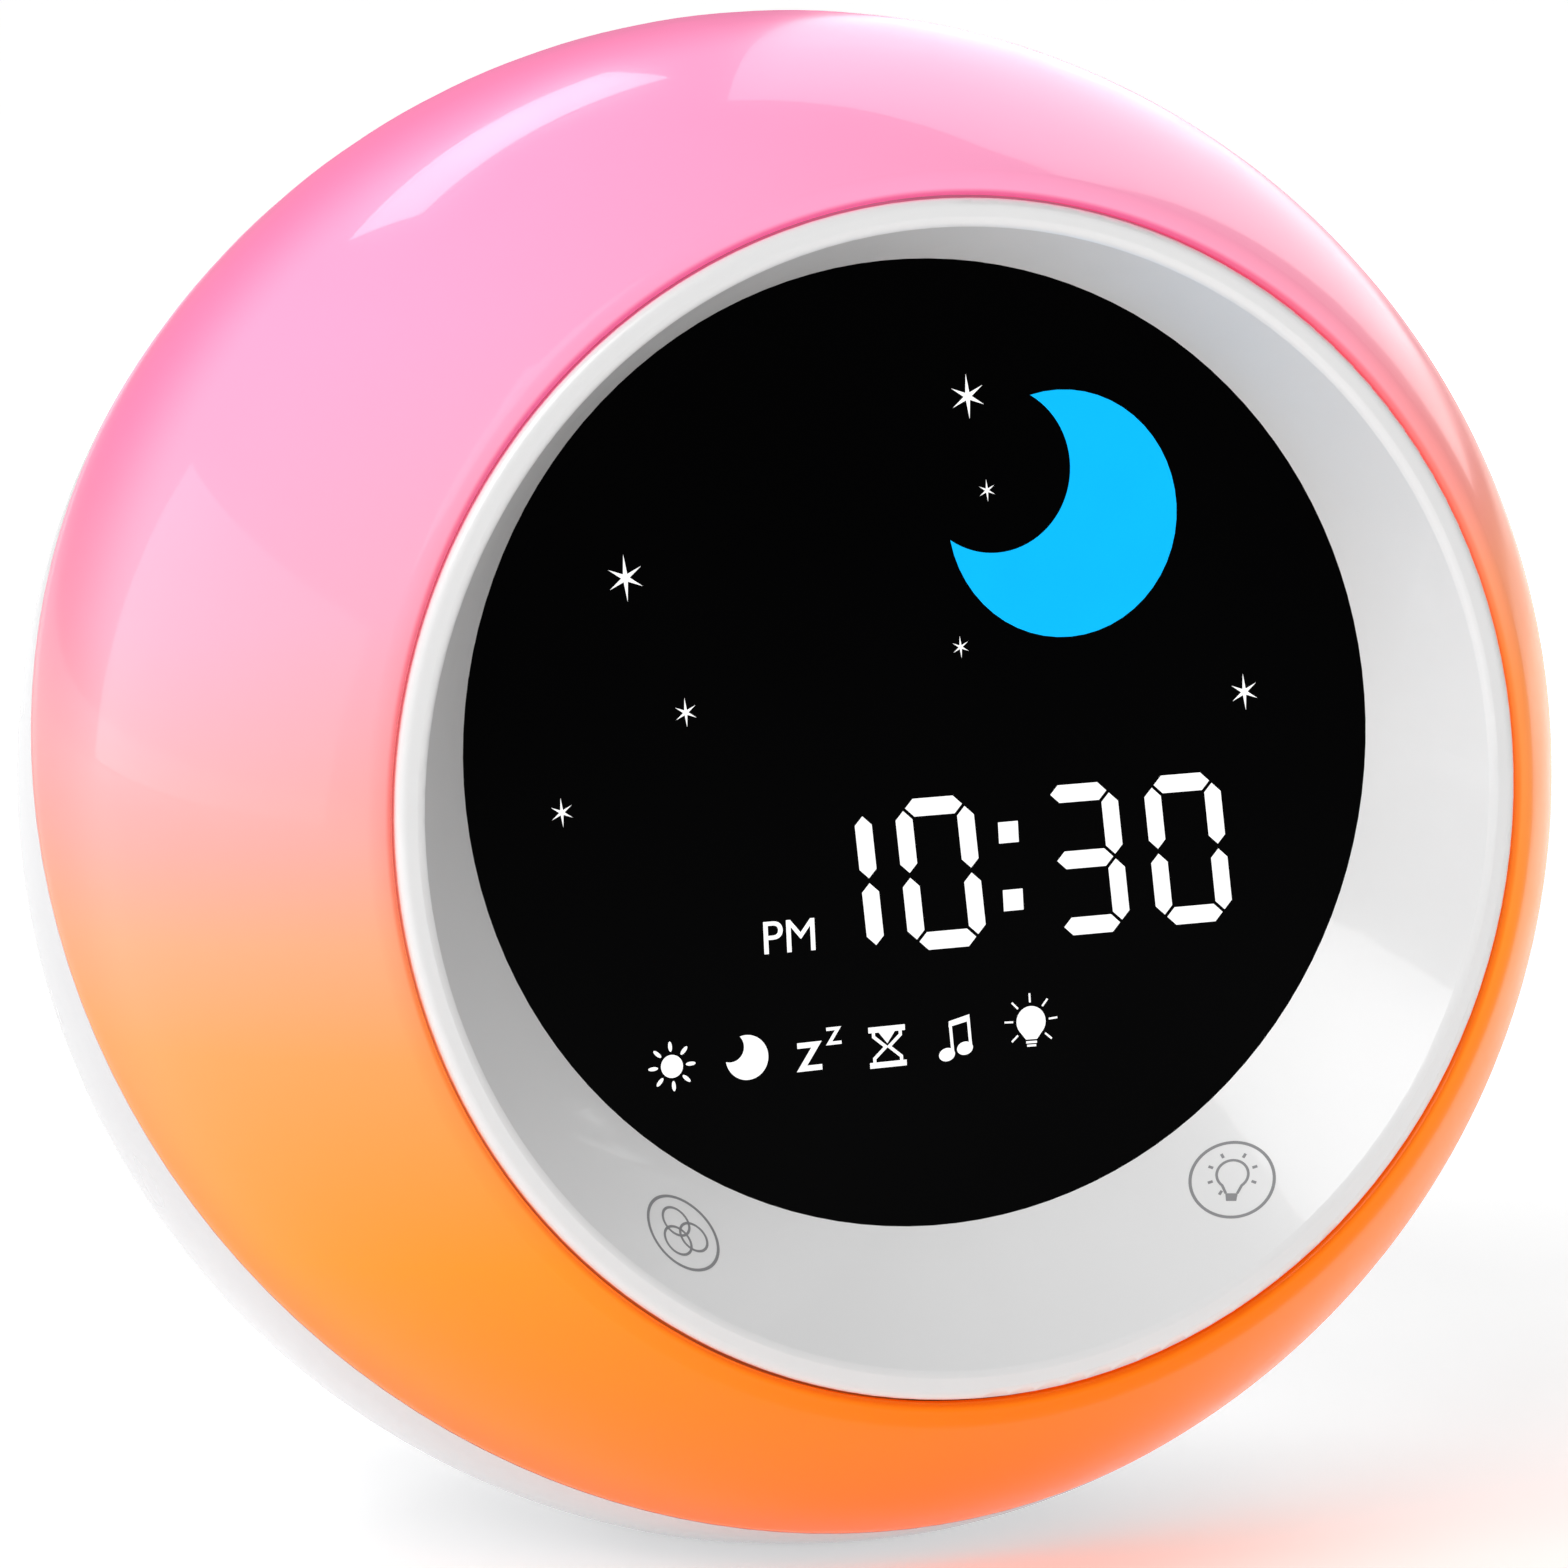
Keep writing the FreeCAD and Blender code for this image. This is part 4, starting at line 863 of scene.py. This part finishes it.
def alarm_sign(shape):
    """A bell with its clapper and two sound lines."""
    dome_points = arc(0, 0.15, 0.85, 180, 0, 12)
    flat(shape, [(-1.25, -0.85)] + dome_points + [(1.25, -0.85)])
    flat(shape, arc(0, -1.05, 0.38, 180, 360, 8))
    band(shape, 0, 0.1, 1.6, 0.22, 30, 70, 6)
    band(shape, 0, 0.1, 1.6, 0.22, 110, 150, 6)


def clock_sign(shape):
    """A clock face with two hands."""
    band(shape, 0, 0, 1.35, 0.25)
    line(shape, [(0, 0.9), (0, 0), (0.65, -0.3)], 0.24)


def sound_sign(shape):
    """A loudspeaker with two sound waves."""
    flat(shape, [(-1.4, -0.45), (-0.9, -0.45), (-0.2, -1.1), (-0.2, 1.1), (-0.9, 0.45), (-1.4, 0.45)])
    band(shape, -0.1, 0, 0.75, 0.22, -50, 50, 10)
    band(shape, -0.1, 0, 1.35, 0.22, -50, 50, 14)


def timer_sign(shape):
    """An hourglass."""
    line(shape, [(-0.95, 1.25), (0.95, 1.25)], 0.28)
    line(shape, [(-0.95, -1.25), (0.95, -1.25)], 0.28)
    flat(shape, [(-0.7, 1.05), (0.7, 1.05), (0.08, 0), (-0.08, 0)])
    flat(shape, [(-0.7, -1.05), (-0.08, 0), (0.08, 0), (0.7, -1.05)][::-1])


KEY_SIGNS = (
    (up_sign, -15, 1),
    (down_sign, -5, 1),
    (alarm_sign, 5, 1),
    (clock_sign, 15, 1),
    (sound_sign, -15, -1),
    (timer_sign, 15, -1),
)
key_signs = bmesh.new()
for sign, x, side in KEY_SIGNS:
    placed(key_signs, sign, x, side * (KEY_ROW + SIGN_RISE))
printed("key_signs", key_signs, on_back, grey_print)

# Keys: six round caps of the same white plastic, each with a flange behind the panel that keeps it in.
# Each cap presses the stem of a switch on one of the two key boards.

key_plastic = moulded("key_plastic", paint(216, 217, 221), roughness=0.32, lump=0.5)
for key in ("key_up", "key_down", "key_alarm", "key_clock", "key_sound", "key_timer"):
    finish_node(key_plastic, key, key + "_stem")

# Battery door: a flat plate hinged at its bottom on two pins, with a thumb notch at its top.
# Three low ribs under the notch give the thumb a grip; they are moulded with the door.

door_white = paint(219, 219, 222)
door_plastic = moulded("door_plastic", door_white, roughness=0.4, lump=0.35, height=0.02, tone=0.015)
finish_node(door_plastic, "battery_door")
DOOR_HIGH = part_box("battery_door")[1]
RIB_COUNT = 3
RIB_LONG = 12
RIB_SHORTER = 2.4
RIB_WIDE = 0.7
RIB_STEP = 1.7
RIB_PROUD = 0.3
RIB_ROUNDING = 0.2
RIB_DROP = 6.5
ribs = bmesh.new()
for k in range(RIB_COUNT):
    rib = bmesh.ops.create_cube(ribs, size=1)["verts"]
    height = (DOOR_HIGH.z - BACK_CENTRE.z) / MM - RIB_DROP - RIB_STEP * k
    size = Matrix.Diagonal((RIB_LONG - RIB_SHORTER * k, RIB_WIDE, 2 * RIB_PROUD, 1))
    bmesh.ops.transform(ribs, verts=rib, matrix=Matrix.Translation((0, height, 0)) @ size)
rounded(ribs, ribs.edges[:], RIB_ROUNDING, 3)
for vert in ribs.verts:
    vert.co = on_back(vert.co) - Vector((0, PRINT_LIFT * MM, 0))
dress("door_ribs", ribs, "door", door_plastic)

# Backup cells: two printed steel cans, one above the other, held between flat contacts and coiled springs.
# Each has a dark blue jacket with a pale band at both ends.

CELL_LOW, CELL_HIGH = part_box("backup_cells")
CELL_MIDDLE_Y = (CELL_LOW.y + CELL_HIGH.y) / 2
CELL_INSET = 5.2 * MM
CELL_ROWS = (CELL_LOW.z + CELL_INSET, CELL_HIGH.z - CELL_INSET)
BAND_START = 15.6 * MM
STEEL_START = 21.0 * MM
PRINT_EDGE = 0.2 * MM


def cell_jacket():
    """A glossy printed jacket: dark blue, with a pale band near each end and bare steel at the ends."""
    material, tree, shader, place = begin("cell_jacket")
    reach = worked(tree, "Math", "ABSOLUTE", along(tree, place, (1, 0, 0)))
    cloud = spread(tree, grain(tree, place, 8 * MM), 0.3, 0.7)
    blue = blended(tree, cloud, paint(34, 66, 120), paint(42, 78, 134))
    band_share = spread(tree, reach, BAND_START, BAND_START + PRINT_EDGE)
    jacket = blended(tree, band_share, blue, paint(205, 208, 214))
    steel_share = spread(tree, reach, STEEL_START, STEEL_START + PRINT_EDGE)
    feed(tree, shader.inputs["Base Color"], blended(tree, steel_share, jacket, paint(180, 182, 186)))
    feed(tree, shader.inputs["Metallic"], steel_share)
    shader.inputs["Coat Weight"].default_value = 0.4
    rough_and_bump(tree, shader, place, 0.28, 0.05, 0.6 * MM, 0.004 * MM)
    return material


finish_node(cell_jacket(), "backup_cells")

# Contact springs: coils of nickelled wire that narrow towards the cell and press on its flat end.
# There is one for each cell, at opposite ends, and each is fixed to its contact plate.

SPRING_LOW, SPRING_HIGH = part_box("battery_springs")
SPRING_LENGTH = 3.95 * MM
SPRING_WIDE = 2.8 * MM
SPRING_END = 1.5 * MM
SPRING_TURNS = 4
SPRING_STEPS = 24
WIRE = 0.32 * MM
WIRE_SIDES = 8


def coil(shape, row, side):
    """One contact spring: a wire circle drawn along a narrowing helix from the contact to the cell."""
    outer_end = SPRING_HIGH.x if side > 0 else SPRING_LOW.x
    steps = SPRING_TURNS * SPRING_STEPS
    ring = bmesh.ops.create_circle(shape, segments=WIRE_SIDES, radius=1)["verts"]
    for k in range(steps + 1):
        share = k / steps
        turn = math.tau * SPRING_TURNS * share
        reach = SPRING_WIDE - WIRE + (SPRING_END - SPRING_WIDE) * share
        inset = WIRE + (SPRING_LENGTH - 2 * WIRE) * share
        out = Vector((0, math.cos(turn), math.sin(turn)))
        middle = Vector((outer_end - side * inset, CELL_MIDDLE_Y, row)) + out * reach
        spots = []
        for n in range(WIRE_SIDES):
            angle = math.tau * n / WIRE_SIDES
            spots.append(middle + (out * math.cos(angle) + Vector((1, 0, 0)) * math.sin(angle)) * WIRE)
        if k == 0:
            for vert, spot in zip(ring, spots):
                vert.co = spot
            shape.faces.new(ring)
        else:
            ring = next_ring(shape, ring, spots)
    shape.faces.new(ring[::-1])


springs = bmesh.new()
coil(springs, CELL_ROWS[0], -1)
coil(springs, CELL_ROWS[1], 1)
spring_coils = dress("spring_coils", springs, "clock", screw_steel)
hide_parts("battery_springs")

# Studio: a pale floor in a white room, with four soft boxes round the clock.
# The camera stands to the left of the face and a little above it, and looks at the ball's middle.

LOOK = Vector((0.3445, 0.9247, -0.1616)).normalized()
RIGHT = Vector((0.937, -0.349, 0)).normalized()
UP = RIGHT.cross(LOOK)
AIM = BALL_CENTRE + Vector((0, -1.0, 0.48)) * MM + RIGHT * 0.1 * MM - UP * 0.5 * MM
CAMERA_DISTANCE = 635 * MM
CAMERA_LENS = 158.9
ROOM_LIGHT = 0.24
FLOOR_RADIUS = 8
FLOOR_SIDES = 96
FLOOR_FADE = (0.12, 1.2)
FLOOR_GLOW = (0.36, 0.8)

# Each soft box: its direction to the right, up and toward the camera, its distance, width, height and power
SOFT_BOXES = {
    "key_light": (-0.45, 0.75, 0.85, 1.2, 0.9, 0.7, 7.4),
    "top_right_light": (0.27, 0.64, -0.72, 1.0, 0.62, 0.95, 4.6),
    "top_left_light": (-0.35, 0.74, -0.57, 1.0, 0.42, 0.15, 1.0),
    "left_light": (-0.95, 0.17, -0.05, 1.0, 0.95, 0.46, 2.7),
}

for name, (side, rise, toward, distance, wide, tall, power) in SOFT_BOXES.items():
    lamp = bpy.data.lights.new(name, "AREA")
    lamp.shape = "RECTANGLE"
    lamp.size = wide
    lamp.size_y = tall
    lamp.energy = power
    holder = bpy.data.objects.new(name, lamp)
    bpy.context.scene.collection.objects.link(holder)
    direction = (RIGHT * side + UP * rise - LOOK * toward).normalized()
    holder.location = BALL_CENTRE + direction * distance
    holder.rotation_mode = "QUATERNION"
    holder.rotation_quaternion = direction.to_track_quat("Z", "Y")


def floor_paint():
    """Pale matt paint that glows more away from the clock, so that the floor runs into the white room."""
    material, tree, shader, place = begin("floor_paint")
    shader.inputs["Base Color"].default_value = (0.8, 0.8, 0.8, 1)
    shader.inputs["Emission Color"].default_value = (1, 1, 1, 1)
    shader.inputs["Specular IOR Level"].default_value = 0.1
    from_clock = worked(tree, "VectorMath", "LENGTH", place)
    feed(tree, shader.inputs["Emission Strength"], spread(tree, from_clock, *FLOOR_FADE, *FLOOR_GLOW))
    rough_and_bump(tree, shader, place, 0.6, 0.04, 3 * MM, 0.01 * MM)
    return material


floor_shape = bmesh.new()
bmesh.ops.create_circle(floor_shape, cap_ends=True, segments=FLOOR_SIDES, radius=FLOOR_RADIUS)
floor_mesh = bpy.data.meshes.new("floor")
floor_shape.to_mesh(floor_mesh)
floor_shape.free()
floor_mesh.materials.append(floor_paint())
floor = bpy.data.objects.new("floor", floor_mesh)
bpy.context.scene.collection.objects.link(floor)

world = bpy.data.worlds.new("white_room")
bpy.context.scene.world = world
world.use_nodes = True
room = world.node_tree.nodes["Background"]
room.inputs["Color"].default_value = (1, 1, 1, 1)
room.inputs["Strength"].default_value = ROOM_LIGHT

camera_data = bpy.data.cameras.new("camera")
camera_data.sensor_width = 36
camera_data.lens = CAMERA_LENS
camera_data.clip_start = 0.01
camera_data.clip_end = 50
camera = bpy.data.objects.new("camera", camera_data)
bpy.context.scene.collection.objects.link(camera)
camera.location = AIM - LOOK * CAMERA_DISTANCE
camera.rotation_mode = "QUATERNION"
camera.rotation_quaternion = (-LOOK).to_track_quat("Z", "Y")
bpy.context.scene.camera = camera
bpy.context.scene.view_settings.view_transform = "Standard"
bpy.context.scene.view_settings.look = "None"
